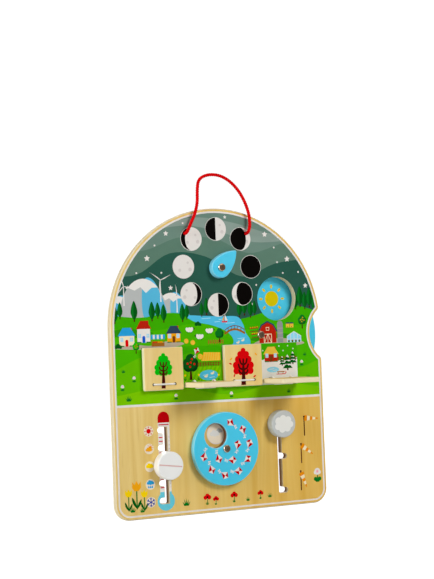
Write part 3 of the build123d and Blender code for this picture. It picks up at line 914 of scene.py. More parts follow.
def turbine(b, height, turn):
    b.paint("snow", [(-0.9, 0), (0.9, 0), (0.4, height), (-0.4, height)])
    for i in range(3):
        blade = b.at(0, height, 1, turn + 120 * i)
        blade.paint("white", [(-0.4, 0), (0.5, 0), (1.0, height * 0.22), (0.1, height * 0.62)])
    b.paint("hill_grey", disc(0, height, 0.9))


def kite(b):
    """Red and white kite with a tail of bows."""
    b.draw("white", 0.6, *curve((0, -5.4), (1.0, -7.0), (-0.5, -8.6), (0.6, -10.2)))
    for u, v in ((0.8, -7.2), (-0.2, -9.4)):
        for side in (-1.6, 1.6):
            b.paint("white", [(u, v), (u + side, v + 0.9), (u + side, v - 0.9)])
    b.paint("white", [(0, 5.4), (-4.8, 1), (0, -5.6), (4.8, 1)])
    b.paint("cap", [(0, 5.4), (-4.8, 1), (0, 1)], [(0, 1), (4.8, 1), (0, -5.6)])


def cloud(b, colour):
    puffs = ((-5, 0.6, 3.0), (-1.6, 2.8, 3.6), (2.6, 2.2, 3.2), (5.4, 0.2, 2.6), (0.5, -0.6, 2.8))
    b.paint(colour, *discs(*puffs), rect(-5, -2.4, 5.4, 0.4))


def drop(b, colour):
    b.paint(colour, arc(0, 0, 1.6, 150, 390) + [(0, 3.8)])


def snowflake(b, colour):
    for i in range(6):
        arm = b.at(0, 0, 1, 60 * i)
        arm.draw(colour, 0.9, (0, 0), (0, 5))
        arm.draw(colour, 0.8, (-1.5, 4.4), (0, 3), (1.5, 4.4))


def sun(b, disc_colour, ray_colour, r=10.0, inner=13.4, outer=18.6, width=2.8, rays=8):
    b.paint(disc_colour, disc(0, 0, r))
    for i in range(rays):
        b.at(0, 0, 1, 360 / rays * i).draw(ray_colour, width, (0, inner + width / 2), (0, outer - width / 2))


def lightning(b):
    b.paint("yellow", [(0.6, 5), (-3, -1.2), (-0.4, -1.2), (-1.8, -6.5), (3, 0.6), (0.4, 0.6), (2.6, 5)])


def fir(b):
    b.paint("bark", rect(-0.7, -1.6, 0.7, 1))
    for base, half, rise in ((0, 4.6, 5.2), (3.4, 3.7, 4.8), (6.6, 2.7, 4.6)):
        b.paint("deep_leaf", [(-half, base), (half, base), (0, base + rise)])
        drift = ((0, 1), (-0.5, 0.5), (-0.12, 0.62), (0.2, 0.42), (0.5, 0.5))
        b.paint("snow", [(half * u, base + rise * v) for u, v in drift])


def sledge(b):
    b.draw("red", 0.9, *curve((-6, 0), (4, 0), (6.4, 1.2), (6.2, 3)))
    b.paint("plank", rect(-5.4, 2, 4.6, 3.2), rect(-3.8, 0, -3, 2), rect(2, 0, 2.8, 2))


def tulip(b, colour):
    b.draw("leaf", 1.0, (0, 0), (0, 14))
    b.paint("deep_leaf", loop((0, 0), (-3.4, 4), (-3.8, 8.5), (-1.4, 5)))
    b.paint("deep_leaf", loop((0, 0), (3.0, 3), (3.6, 6.8), (1.2, 4)))
    b.paint(colour, [(-3.4, 20), (-3.6, 15.5), (-1.8, 13), (1.8, 13), (3.6, 15.5), (3.4, 20), (1.7, 17.6),
                     (0, 20.6), (-1.7, 17.6)])


def poppy(b):
    b.draw("leaf", 0.6, (0, 0), (0.4, 4.6))
    tuft(b.at(0, 0, 0.5))
    b.paint("red", *discs((-1.5, 5.6, 1.7), (1.9, 5.6, 1.7), (0.2, 6.8, 1.8)))
    b.paint("black", disc(0.2, 5.8, 0.8))


# Landscape
def sky(b):
    b.paint("night", rect(-160, 230, 160, 390))
    far_corners = ((160, 400), (-160, 400))
    b.paint("dusk", curve((-160, 300), (-112, 300), (-66, 326), (-16, 322), (36, 296), (84, 312), (160, 330),
                          *far_corners))
    b.paint("haze", curve((-160, 326), (-100, 330), (-52, 346), (0, 344), (46, 326), (96, 338), (160, 352),
                          *far_corners))
    b.paint("mist", loop((-90, 356), (-40, 361), (10, 352), (56, 340), (112, 344), (70, 353), (20, 366),
                         (-34, 371)))
    for u, v, r in ((-97, 320, 4.2), (-124, 283, 3.8), (-70, 351, 3.6), (71, 350, 4.0), (103, 318, 4.2),
                    (129, 283, 3.6), (-66, 283, 3.4), (49, 259, 3.2), (14, 372, 2.6)):
        star(b.at(u, v), r)
    b.paint("white", *dots(1.2, (-112, 302), (-86, 336), (-134, 300), (-78, 302), (84, 333), (119, 301),
                           (96, 300), (-30, 372), (56, 285), (88, 314), (-52, 256), (64, 252), (-46, 364)))


def dome_hill(b, half, height):
    """Round-topped hill, lit from one side, under a cap of snow."""
    b.paint("hill_grey", oval(0, 0, half, height))
    lit = ((0.1, 1), (0.55, 0.86), (1, 0), (0.1, 0), (-0.06, 0.5))
    b.paint("hill_blue", loop(*((half * u, height * v) for u, v in lit)))
    top = np.radians(np.linspace(52, 128, 9))
    cap = list(zip(np.cos(top), np.sin(top))) + [(-0.34, 0.72), (-0.1, 0.8), (0.12, 0.66), (0.36, 0.78)]
    b.paint("snow", [(half * u, height * v) for u, v in cap])


def hills(b):
    for u, half, height in ((-66, 25, 34), (-140, 31, 31), (-104, 33, 52)):
        dome_hill(b.at(u, 243), half, height)
    for u, v, height, turn in ((-130, 262, 24, 20), (-80, 266, 27, 55), (-58, 252, 22, 5)):
        turbine(b.at(u, v), height, turn)


def meadow(b):
    b.paint("meadow", ridge(130, (-160, 252), (-110, 247), (-64, 252), (-20, 243), (24, 241), (64, 249),
                            (104, 259), (160, 245)))
    b.paint("field", ridge(130, (-160, 236), (-96, 230), (-30, 238), (20, 226), (80, 234), (160, 226)))
    b.paint("shade", loop((-150, 226), (-120, 222), (-92, 227), (-112, 232), (-140, 233)))
    b.paint("shade", loop((46, 214), (84, 211), (122, 215), (92, 222), (58, 221)))
    b.paint("lawn", ridge(130, (-160, 176), (-96, 201), (-30, 186), (40, 197), (104, 176), (160, 192)))
    b.paint("light_lawn", ridge(130, (-160, 150), (-70, 160), (10, 147), (80, 158), (160, 149)))


def river(b):
    b.paint("water", loop((-46, 248), (-20, 247), (6, 246), (26, 245), (34, 236), (38, 224), (44, 214),
                          (40, 203), (14, 203), (20, 213), (16, 222), (4, 230), (-14, 236), (-34, 240)))
    for u, v, run in ((-24, 243.5, 12), (0, 242, 10), (10, 237, 12), (22, 230, 9), (26, 217, 10),
                      (24, 207, 8), (-6, 239, 7)):
        b.draw("ripple", 0.9, (u, v), (u + run, v + 0.6))


def village(b):
    b.paint("path", loop((-146, 210), (-120, 214), (-96, 212), (-72, 217), (-50, 213), (-80, 207),
                         (-118, 208)))
    scatter(b, poplar, ((-143, 240, 1.7), (-136, 246, 1.5), (-117, 242, 1.9), (-93, 242, 1.8),
                        (-85, 245, 1.5), (-77, 240, 1.7), (-51, 240, 1.7), (-45, 243, 1.4)))
    house(b.at(-128, 212, 1.35), "cream", "sky_blue", "red", 15)
    house(b.at(-105, 216, 1.35), "snow", "brick", "blue", 13, 13)
    stall(b.at(-86, 211, 1.25), "sky_blue")
    house(b.at(-64, 215, 1.3), "amber", "slate", "brown", 14, 9)
    round_tree(b.at(-116, 203, 0.9), "fresh", "leaf", "red")
    bush(b.at(-140, 210, 1.3))


def vegetable_rows(b):
    for i in range(4):
        start, end = (44 + 1.2 * i, 229 - 3.8 * i), (56 + 0.6 * i, 230 - 3.8 * i)
        b.draw("brown", 1.4, start, end)
        for share in (0.1, 0.37, 0.63, 0.9):
            place = [s + share * (e - s) for s, e in zip(start, end)]
            b.paint("fresh" if i % 2 else "orange", disc(place[0], place[1] + 1.1, 1.0))


def farm(b):
    scatter(b, poplar, ((30, 244, 1.6), (37, 246, 1.9), (46, 243, 1.7), (52, 246, 1.4), (113, 252, 1.6),
                        (120, 255, 2.0), (127, 252, 1.7), (134, 254, 1.9), (141, 249, 1.6)))
    b.paint("path", loop((48, 206), (84, 204), (124, 208), (100, 215), (60, 214)))
    barn(b.at(70, 210, 1.4))
    glasshouse(b.at(109, 210, 1.3))
    round_tree(b.at(122, 227, 1.15), "leaf", "deep_leaf", "amber")
    scatter(b, beehive, ((100, 228, 1.1), (106, 228, 1.1)))
    vegetable_rows(b)


def riverside(b):
    scatter(b, poplar, ((-24, 246, 1.3), (-17, 248, 1.6), (-9, 247, 1.4)))
    bridge(b.at(22, 224, 1.15))
    boat(b.at(8, 238, 1.0))
    scatter(b, duck, ((26, 211), (33, 213.5)))
    scatter(b, sheep, ((-42, 226, 1.35), (-28, 217, 1.35, 0, True), (-14, 224, 1.35)))
    scatter(b, bale, ((-47, 213, 1.05), (-38, 211, 1.05)))
    fence(b.at(-16, 211, 1.15), 6)
    round_tree(b.at(0, 213, 1.15))
    bush(b.at(-30, 235, 1.2))


def verges(b):
    scatter(b, tuft, ((-134, 180, 0.9), (-128, 145, 1.4), (124, 192, 0.9), (128, 161, 1.3), (98, 145)))
    scatter(b, clover, ((-120, 168, 1.3), (-64, 144, 1.3), (119, 179, 1.3), (14, 143, 1.3), (-136, 158, 1.3)))


# Season pictures behind the tiles, from the lower left corner of each
def spring_picture(b):
    b.paint("field", rect(0, 0, TILE_W, TILE_H))
    b.paint("meadow", ridge(60, (-2, 36), (16, 40), (34, 35), (56, 40)))
    b.paint("lawn", ridge(-2, (-2, 20), (18, 24), (36, 19), (56, 23)))
    round_tree(b.at(16, 12, 2.1), "pink", "rose")
    fence(b.at(28, 24), 7, "white")
    scatter(b, tulip, ((34, 12, 0.6), (40, 16, 0.6), (46, 10, 0.6), (30, 6, 0.6), (8, 6, 0.6)), "red")
    sheep(b.at(40, 30))


def summer_picture(b):
    b.paint("field", rect(0, 0, TILE_W, TILE_H))
    b.paint("meadow", ridge(60, (-2, 42), (16, 46), (36, 43), (56, 47)))
    b.paint("lawn", rect(0, 0, TILE_W, 27))
    for i in range(9):
        b.paint("light_lawn", [(6 * i - 8, 0), (6 * i - 5, 0), (6 * i + 9, 27), (6 * i + 6, 27)])
    b.paint("straw", [(26, 34), (53.5, 34), (53.5, 44), (30, 45)])
    for i in range(8):
        b.draw("amber", 1.0, (27.5 + 3.4 * i, 34.6), (30 + 3.2 * i, 44))
    fence(b.at(0, 27, 1.2), 15, "brown")
    b.paint("water", oval(36, 16, 13, 6.4))
    b.draw("ripple", 1.0, (28, 16), (35, 17))
    b.draw("ripple", 1.0, (37, 13), (44, 13.6))
    scatter(b, duck, ((32, 13.6, 1.1), (41, 17, 1.1)))
    round_tree(b.at(11, 11, 2.05), "deep_leaf", "dark_leaf", "red")
    kite(b.at(20, 47, 0.9, -24))
    bale(b.at(25, 36, 1.2))
    scatter(b, tulip, ((22, 10, 0.42), (3, 10, 0.42), (50, 9, 0.42)), "yellow")


def autumn_picture(b):
    b.paint("straw", rect(0, 0, TILE_W, TILE_H))
    b.paint("mist", ridge(60, (-2, 34), (18, 39), (36, 35), (56, 40)))
    for u, leaf in ((12, "orange"), (28, "red"), (43, "amber")):
        round_tree(b.at(u, 16, 1.7), leaf, "rust")
    for u, v in ((10, 8), (24, 5), (40, 9)):
        b.paint("orange", oval(u, v, 3.6, 2.8))
        b.paint("rust", oval(u, v, 1.2, 2.8))
        b.paint("leaf", rect(u - 0.5, v + 2.6, u + 0.5, v + 4.2))


def winter_picture(b):
    b.paint("meadow", rect(0, 0, TILE_W, TILE_H))
    b.paint("snow", ridge(-2, (-2, 31), (14, 34), (32, 30), (56, 34)))
    b.paint("cloud", ridge(-2, (-2, 14), (20, 18), (40, 14), (56, 17)))
    fence(b.at(22, 30, 1.2), 9, "brown")
    house(b.at(15, 29, 1.3), "brick", "straw", "brown", 15, 8, 7)
    scatter(b, fir, ((39, 20, 1.6), (47, 27, 1.3), (31, 25, 1.0)))
    b.paint("pane", oval(17, 19, 9, 3.6))
    b.draw("white", 0.7, (12, 19.4), (18, 20.2))
    b.draw("white", 0.7, (17, 17.8), (22, 18.4))
    sledge(b.at(29, 13, 1.1))
    b.paint("white", *dots(0.9, (3, 44), (27, 49), (33, 43), (40, 49), (48, 45), (3, 24), (27, 22)))


PICTURES = (spring_picture, summer_picture, autumn_picture, winter_picture)

# Thermometer, wind signs and flowers on the bare wood
TUBE_X = -82.6
TUBE_HALF = 7.9
TUBE_TOP_Z = 130.3
CAP_Z = 116.7
BULB_Z = 20.2
BULB_R = 11.8
LIQUID_Z = 31.6
CAP_LINE_Z = (113.5, 114.9)
TICKS_Z = (37.0, 98.6)
TICK_COUNT = 14
ICONS_Z = (20.4, 107.3)
ICON_X = -103.2
ICON_R = 6.5


def thermometer(b):
    left, right = TUBE_X - TUBE_HALF, TUBE_X + TUBE_HALF
    shoulder = TUBE_TOP_Z - TUBE_HALF
    b.paint("tube", rect(left, BULB_Z, right, shoulder))
    b.paint("cap", rect(left, CAP_Z, right, shoulder), arc(TUBE_X, shoulder, TUBE_HALF, 0, 180))
    b.paint("tick", rect(left + 1, CAP_LINE_Z[0], right - 1, CAP_LINE_Z[1]))
    for level in np.linspace(*TICKS_Z, TICK_COUNT):
        b.paint("tick", rect(left + 0.8, level - 0.7, TUBE_X - 1.0, level + 0.7))
        b.paint("rose", rect(right - 1.8, level - 0.4, right - 0.6, level + 0.4))
    b.paint("bulb", disc(TUBE_X, BULB_Z, BULB_R), rect(left, BULB_Z, right, LIQUID_Z))


def weather_icons(b):
    """Five round signs from cold, at the foot, to hot."""
    frost, rain, grey, fair, hot = (b.at(ICON_X, level) for level in np.linspace(*ICONS_Z, 5))
    for sign in (frost, rain, grey, fair, hot):
        sign.paint("icon", disc(0, 0, ICON_R))
    sun(hot.at(0, 0, 0.29), "red", "red", 10.5, 13.5, 20, 4.2)
    sun(fair.at(1.4, 1.4, 0.22), "orange", "orange", 10, 13, 20, 4.6)
    cloud(fair.at(-0.6, -1.6, 0.55), "amber")
    cloud(grey.at(0, 0, 0.66), "yellow")
    cloud(rain.at(0, 1.4, 0.62), "sky_blue")
    scatter(rain, drop, ((-2.4, -3.6, 0.7), (0, -3.6, 0.7), (2.4, -3.6, 0.7)), "sky_blue")
    snowflake(frost.at(0, 0, 1.1), "navy")


def windsock(b, lift):
    """Striped sock on a pole, that hangs lower as the wind drops."""
    b.paint("bark", rect(-0.6, -10, 0.6, 9))
    sock = b.at(0.4, 7.6, 1, lift)
    for i, colour in enumerate(("orange", "cream", "orange", "cream", "orange")):
        near, far = 3.2 * i, 3.2 * (i + 1)
        wide, narrow = 3.0 - 0.16 * near, 3.0 - 0.16 * far
        sock.paint(colour, [(near, -wide), (far, -narrow), (far, narrow), (near, wide)])
    b.paint("bark", disc(0, 9, 1.0))


def wind_signs(b):
    for u, v, lift in ((119, 101, -4), (113, 66, -36), (111, 31, -68)):
        windsock(b.at(u, v, 1.3), lift)


def flower_bed(b):
    for u, v, size, colour in ((-133, 12, 1.3, "yellow"), (-122, 14, 1.65, "amber"),
                               (-112, 11, 1.25, "yellow")):
        tulip(b.at(u, v, size), colour)
    scatter(b, tuft, ((-128, 10, 1.4), (-115, 9, 1.2), (-55, 12, 1.7), (32, 11, 1.0), (64, 13, 1.1)))
    scatter(b, poppy, ((-26, 11, 1.6), (-14, 10, 1.25), (12, 11, 1.55), (50, 12, 1.3)))
    tuft(b.at(136, 27, 1.2))
    clover(b.at(136, 28, 3.0))


# Round signs under the rain disc, as colours of a near and a far cloud and a count of drops
RAIN_SIGNS = (("cloud", "hill_grey", 0), ("grey_cloud", "cloud", 1), ("grey_cloud", "slate", 2),
              ("grey_cloud", "grey_cloud", 3))
SIGN_R = 13.1
SIGN_LINE = 1.0
SIGN_OFFSET = 21.1
SIGN_ANGLE = 117.0


def rain_signs(b):
    """One of the signs shows through the hole of the disc."""
    for i, (near, far, drops) in enumerate(RAIN_SIGNS):
        sign = b.at(*RAIN_AXLE).at(*polar(SIGN_OFFSET, SIGN_ANGLE + 360 / len(RAIN_SIGNS) * i))
        sign.paint("white", disc(0, 0, SIGN_R))
        sign.paint("beige", disc(0, 0, SIGN_R - SIGN_LINE))
        cloud(sign.at(4.6, 3.0, 0.6), far)
        cloud(sign.at(-2.0, -0.4, 0.85), near)
        for k in range(drops):
            drop(sign.at(-4 + 3.4 * k, -6.6, 0.9), "blue")


# Levels where the front print is split, and its room past the panel's edge
LOWER_SPLIT_Z = DIVIDER_Z - DIVIDER_H / 2 - 0.5
SKY_SPLIT_Z = 250
PRINT_ROOM = 10


def board_prints():
    """The whole front print, in three pieces that meet edge to edge."""
    art = Brush([])
    low, high = DIVIDER_Z - DIVIDER_H / 2, DIVIDER_Z + DIVIDER_H / 2
    side = ARCH_R - BORDER_OUTER - 1
    art.paint("white", panel_outline(BORDER_OUTER))
    art.paint(None, panel_outline(BORDER_INNER))
    art.paint("white", rect(-side, low, side, high))
    land = art.within(picture_outline())
    for scenery in (sky, hills, meadow, river, village, farm, riverside, verges):
        scenery(land)
    moon_ring(art)
    for season, picture in zip(SEASONS, PICTURES):
        corner = art.at(tile_x(season) - TILE_W / 2, TILE_BOTTOM_Z)
        picture(corner.within(rect(0, 0, TILE_W, TILE_H)))
    for motif in (thermometer, weather_icons, wind_signs, flower_bed, rain_signs):
        motif(art)
    edge = ARCH_R + PRINT_ROOM
    levels = (-PRINT_ROOM, LOWER_SPLIT_Z, SKY_SPLIT_Z, PANEL_HIGH.z + PRINT_ROOM)
    names = ("print_lower", "print_meadow", "print_sky")
    regions = {name: rect(-edge, z0, edge, z1) for name, z0, z1 in zip(names, levels, levels[1:])}
    for name, flat in flatten(art.shapes, regions, panel_cuts()).items():
        finish_print(ink_layer(name, flat, face_at(FRONT_Y)), "board", "plywood")


# Prints on the tiles: leaf colour, lift, size and foot of each tree, and what falls round it
TILE_TREES = {"spring": ("fresh", 0.0, 1.0, 2.4), "summer": ("leaf", -8.4, 1.24, 8.8),
              "autumn": ("red", -8.4, 1.24, 8.0), "winter": (None, -4.0, 1.1, 6.0)}
TREE_SHIFT = -1.4
TREE_LEAN = -1.2
TREE_LOBES = ((3.6, 39.4, 3.3), (5.8, 34.0, 3.9), (8.4, 28.2, 3.8), (8.1, 22.6, 3.7), (3.2, 21.0, 3.0))
TREE_BOUGHS = ((19.5, 5.0, 3.6), (23.5, 5.6, 5.4), (28.5, 4.2, 6.0))
FALLEN_LEAVES = ((-18, 35, 40), (-19, 29, -20), (15, 12, 30), (18, 40, -50), (-14, 14, 70))
SNOWFLAKES = ((-14, 40), (13, 42), (-16, 26), (16, 28), (-8, 46), (9, 17))
TILE_MARGIN = 1.5
TILE_FOOT = 1.6


def tile_tree(b, leaf, foot):
    """Lobed crown on a trunk, with boughs drawn over it."""
    if leaf:
        b.paint(leaf, disc(0, 43.2, 2.8), [(0, 43), (-6, 34), (-8, 25), (-3, 21), (3, 21), (8, 25), (6, 34)])
        b.paint(leaf, *(disc(side * u, v, r) for u, v, r in TREE_LOBES for side in SIDES))
    b.paint("bark", [(-2.8, foot), (2.8, foot), (1.7, 20), (0.8, 35), (-0.8, 35), (-1.7, 20)])
    for height, reach, rise in TREE_BOUGHS:
        for side in SIDES:
            middle = (side * reach * 0.75, height + rise * 0.35)
            b.draw("bark", 1.9, *curve((0, height), middle, (side * reach, height + rise)))


def open_tile_face(x):
    """Front of a tile that is folded open, which looks down."""

    def face(u, v, out):
        y = TILE_FRONT_Y - out - HINGE_Y
        z = TILE_BOTTOM_Z + v - HINGE_Z
        return Vector((x + u, HINGE_Y - z, HINGE_Z + y)) * MM

    return face


def tile_prints():
    side = TILE_W / 2 - TILE_MARGIN
    room = rect(-side, TILE_FOOT, side, TILE_H - TILE_MARGIN)
    holes = [disc(end * ELASTIC_HOLE_X, ELASTIC_UP, ELASTIC_HOLE_R) for end in SIDES]
    for season, (leaf, lift, size, foot) in TILE_TREES.items():
        art = Brush([])
        tile_tree(art.at(TREE_SHIFT, lift, size, TREE_LEAN), leaf, foot)
        if season == "autumn":
            for u, v, turn in FALLEN_LEAVES:
                art.at(u, v, 1, turn).paint("amber" if v > 30 else "red", oval(0, 0, 2.2, 1.0))
        if season == "winter":
            for u, v in SNOWFLAKES:
                snowflake(art.at(u, v, 0.42), "sky_blue")
        x = tile_x(season)
        face = open_tile_face(x) if season in OPEN_SEASONS else face_at(TILE_FRONT_Y, (x, TILE_BOTTOM_Z))
        apply_print(f"print_{season}_tile", art, room, holes, face, f"{season}_tile", "tile_wood")


# Prints on the discs and knobs
KITE_RINGS = ((33.0, (78, 43, 8, -27, -62, -97, -132, -166)), (16.5, (15, -62, -135)))
KITE_LEAN = -30
KITE_SIZE = 1.1
RAIN_PRINT_R = 44
WEATHER_PRINT_R = 87
WEATHERS = ("sun", "cloud", "rain", "snow", "storm")
KNOB_CLOUD = ((-7.6, 3.6, 5.0), (-1.0, 6.2, 5.0), (6.2, 4.6, 4.7), (9.6, -1.0, 4.1), (4.8, -5.4, 4.8),
              (-2.6, -6.4, 4.8), (-8.9, -3.2, 4.3), (0, 0, 8.0))
KNOB_PRINT_R = 15.6
KNOB_LINE_HALF = 16.4
KNOB_LINE_W = 1.5
KNOB_LINE_TURN = -7.5


def disc_face(node, centre):
    return face_at(corners(node)[0].y, centre)


def rain_print():
    art = Brush([])
    for r, angles in KITE_RINGS:
        for angle in angles:
            kite(art.at(*polar(r, angle), KITE_SIZE, angle + KITE_LEAN))
    x, z = (a - b for a, b in zip(RAIN_HOLE, RAIN_AXLE))
    holes = [disc(0, 0, BOLT_CUT_R), disc(x, z, RAIN_HOLE_R + RAIN_HOLE_EDGE_R + RAIN_HOLE_MARGIN)]
    apply_print("print_rain_disc", art, disc(0, 0, RAIN_PRINT_R), holes, disc_face("rain_disc", RAIN_AXLE),
                "rain_disc", "cyan_paint")


def weather_picture(b, weather):
    if weather == "sun":
        sun(b.at(-0.5, 0.2), "sun", "ray")
        return
    cloud(b.at(0, 3, 2.0), "grey_cloud" if weather == "storm" else "cloud")
    if weather == "rain":
        scatter(b, drop, ((-8, -12, 1.5), (0, -12, 1.5), (8, -12, 1.5)), "blue")
    if weather == "snow":
        scatter(b, snowflake, ((-8, -10, 0.8), (0, -10, 0.8), (8, -10, 0.8)), "white")
    if weather == "storm":
        lightning(b.at(0, -9, 1.3))


def weather_print():
    """Five kinds of weather round the disc behind the window."""
    art = Brush([])
    reach = math.hypot(WINDOW_AT[0] - WEATHER_AXLE[0], WINDOW_AT[1] - WEATHER_AXLE[1])
    first = bearing(WEATHER_AXLE, WINDOW_AT)
    for i, weather in enumerate(WEATHERS):
        turn = 360 / len(WEATHERS) * i
        weather_picture(art.at(*polar(reach, first + turn), 1, turn), weather)
    apply_print("print_weather_disc", art, disc(0, 0, WEATHER_PRINT_R), [disc(0, 0, SPACER_CUT_R)],
                disc_face("weather_disc", WEATHER_AXLE), "weather_disc", "cyan_paint")


def knob_prints():
    line_art, cloud_art = Brush([]), Brush([])
    ends = ((-KNOB_LINE_HALF, 0), (KNOB_LINE_HALF, 0))
    line_art.at(0, 0, 1, KNOB_LINE_TURN).draw("rose", KNOB_LINE_W, *ends)
    cloud_art.paint("cloud", *discs(*KNOB_CLOUD))
    looks = (("thermometer_knob", line_art, "white_paint"), ("wind_knob", cloud_art, "grey_paint"))
    for knob, art, slot in looks:
        face = disc_face(knob, axle(f"{knob}_turn"))
        apply_print(f"print_{knob}", art, disc(0, 0, KNOB_PRINT_R), [], face, knob, slot)


# Cords
ROPE_D = 4.0
ROPE_EXIT_RUN = 4.5
ROPE_STRANDS = 3
ROPE_LAY = 9.0
ROPE_STEP = 0.5
ROPE_KNOT_R = 4.6
ROPE_KNOT_L = 7.5
STRAND_SWELL = 1.2
STRAND_SIDES = 8
KNOT_OPENING = 0.35
KNOT_POINTS = 60
KNOT_TAIL = (0.4, 0.7, 0.3)
ASKEW = (0.31, 0.52, 0.79)
ROUTE_DETAIL = 16
ROUTE_ORDER = 3
ROPE_ROUTE = (
    (-42.3, -12.2, 355.2),
    (-38.5, -12.0, 362.5),
    (-31.5, -11.0, 375.0),
    (-26.6, -9.5, 389.5),
    (-26.2, -9.0, 405.0),
    (-24.0, -9.0, 419.5),
    (-10.5, -9.0, 425.6),
    (6.5, -9.0, 424.9),
    (21.5, -9.0, 417.3),
    (34.0, -9.0, 404.5),
    (42.5, -9.2, 389.0),
    (46.8, -10.0, 373.5),
    (46.0, -12.0, 361.8),
    (44.3, -12.2, 355.0),
)


def route_line(points):
    """Points along the smooth line that has a route's points as its control points, in millimetres."""
    route = bpy.data.curves.new("route", "CURVE")
    route.dimensions = "3D"
    route.resolution_u = ROUTE_DETAIL
    spline = route.splines.new("NURBS")
    spline.points.add(len(points) - 1)
    for control, place in zip(spline.points, points):
        control.co = (*place, 1)
    spline.order_u = ROUTE_ORDER
    spline.use_endpoint_u = True
    carrier = bpy.data.objects.new("route", route)
    bpy.context.scene.collection.objects.link(carrier)
    drawn = carrier.evaluated_get(bpy.context.evaluated_depsgraph_get())
    mesh = bpy.data.meshes.new_from_object(drawn)
    places = np.array([v.co for v in mesh.vertices])
    bpy.data.objects.remove(carrier)
    bpy.data.curves.remove(route)
    bpy.data.meshes.remove(mesh)
    return places


def run_along(places):
    """How far along a line each of its points lies."""
    return np.concatenate([[0], np.cumsum(np.linalg.norm(np.diff(places, axis=0), axis=1))])


def evenly(places, step):
    """The same line at even steps."""
    run = run_along(places)
    at = np.linspace(0, run[-1], max(2, round(run[-1] / step)) + 1)
    return np.column_stack([np.interp(at, run, places[:, i]) for i in range(3)])


def side_frames(places):
    """Two directions across a line at each of its points, carried along without twist."""
    ways = np.gradient(places, axis=0)
    ways /= np.linalg.norm(ways, axis=1)[:, None]
    across = np.cross(ways[0], ASKEW)
    firsts = []
    for way in ways:
        across = across - way * (across @ way)
        across = across / np.linalg.norm(across)
        firsts.append(across)
    firsts = np.array(firsts)
    return firsts, np.cross(ways, firsts)


def tube(places, radius, sides):
    """Vertices and faces of a closed round tube along a line."""
    first, second = side_frames(places)
    angles = np.arange(sides) * 2 * math.pi / sides
    rings = places[:, None] + radius * (np.cos(angles)[None, :, None] * first[:, None]
                                        + np.sin(angles)[None, :, None] * second[:, None])
    faces = []
    for i in range(len(places) - 1):
        for k in range(sides):
            after = (k + 1) % sides
            faces.append((i * sides + k, i * sides + after, (i + 1) * sides + after, (i + 1) * sides + k))
    last = (len(places) - 1) * sides
    faces.append(tuple(range(sides))[::-1])
    faces.append(tuple(range(last, last + sides)))
    return rings.reshape(-1, 3), faces


def gather(parts):
    """One set of vertices and faces out of several."""
    vertices, faces = [], []
    for places, loops in parts:
        first = len(vertices)
        vertices += [Vector(p) * MM for p in places]
        faces += [tuple(first + i for i in face) for face in loops]
    return vertices, faces


def strands(places):
    """Twisted strands that lie round the rope's line, each swollen a little into its neighbours."""
    strand_r = ROPE_D / 2 / (1 + 1 / math.sin(math.pi / ROPE_STRANDS))
    offset = ROPE_D / 2 - strand_r
    first, second = side_frames(places)
    run = run_along(places)
    parts = []
    for k in range(ROPE_STRANDS):
        turn = 2 * math.pi * (run / ROPE_LAY + k / ROPE_STRANDS)
        path = places + offset * (np.cos(turn)[:, None] * first + np.sin(turn)[:, None] * second)
        parts.append(tube(path, strand_r * STRAND_SWELL, STRAND_SIDES))
    return parts


def knot_line(x, z, start_y, seat_y, size, length):
    """From a hole straight back, and into an overhand knot against the far side."""
    straight = [(x, y, z) for y in np.linspace(start_y, seat_y, 5)]
    t = np.linspace(KNOT_OPENING, 2 * math.pi - KNOT_OPENING, KNOT_POINTS)
    u = size * (np.sin(t) + 2 * np.sin(2 * t)) / 3
    v = size * (np.cos(t) - 2 * np.cos(2 * t)) / 3
    w = seat_y + length * (0.5 + 0.36 * np.sin(3 * t))
    loops = np.column_stack([x + u, w, z + v])
    tail = [loops[-1] + np.array(KNOT_TAIL) * k for k in (1.5, 3, 4.5)]
    return evenly(np.vstack([straight[:-1], loops, tail]), size * 0.08)


def cord_piece(name, parts, finish):
    piece = new_object(name, *gather(parts), smooth=True)
    piece.data.materials.append(FINISHES[finish])
    return piece


def rope():
    runs = (0, ROPE_EXIT_RUN)
    ends = [[(side * ROPE_HOLE_X, FRONT_Y - run, ROPE_HOLE_Z) for run in runs] for side in SIDES]
    path = evenly(route_line([*ends[0], *ROPE_ROUTE, *ends[1][::-1]]), ROPE_STEP)
    piece = cord_piece("rope", strands(path), "rope")
    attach(piece, "board")
    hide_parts("handle_rope")
    parts = []
    for side in SIDES:
        knot = knot_line(side * ROPE_HOLE_X, ROPE_HOLE_Z, FRONT_Y, BACK_Y, ROPE_KNOT_R, ROPE_KNOT_L)
        parts += strands(knot)
    knots = cord_piece("knots", parts, "rope")
    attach(knots, "board")
    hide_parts("rope_knots")
    tuple(c * MM for c in ends[0][0])


ELASTIC_BEND_R = 1.2
ELASTIC_LIFT = 0.2
ELASTIC_SIDES = 10
ELASTIC_KNOT_R = 2.2
ELASTIC_KNOT_L = 3.4
ELASTIC_KNOT_SIDES = 8
POCKET_FLOOR_Y = BACK_Y - 5.0
ELASTIC_KNOT_Y = (POCKET_FLOOR_Y + 0.2, POCKET_FLOOR_Y + 0.6)
ELASTIC_START_Y = POCKET_FLOOR_Y + 2


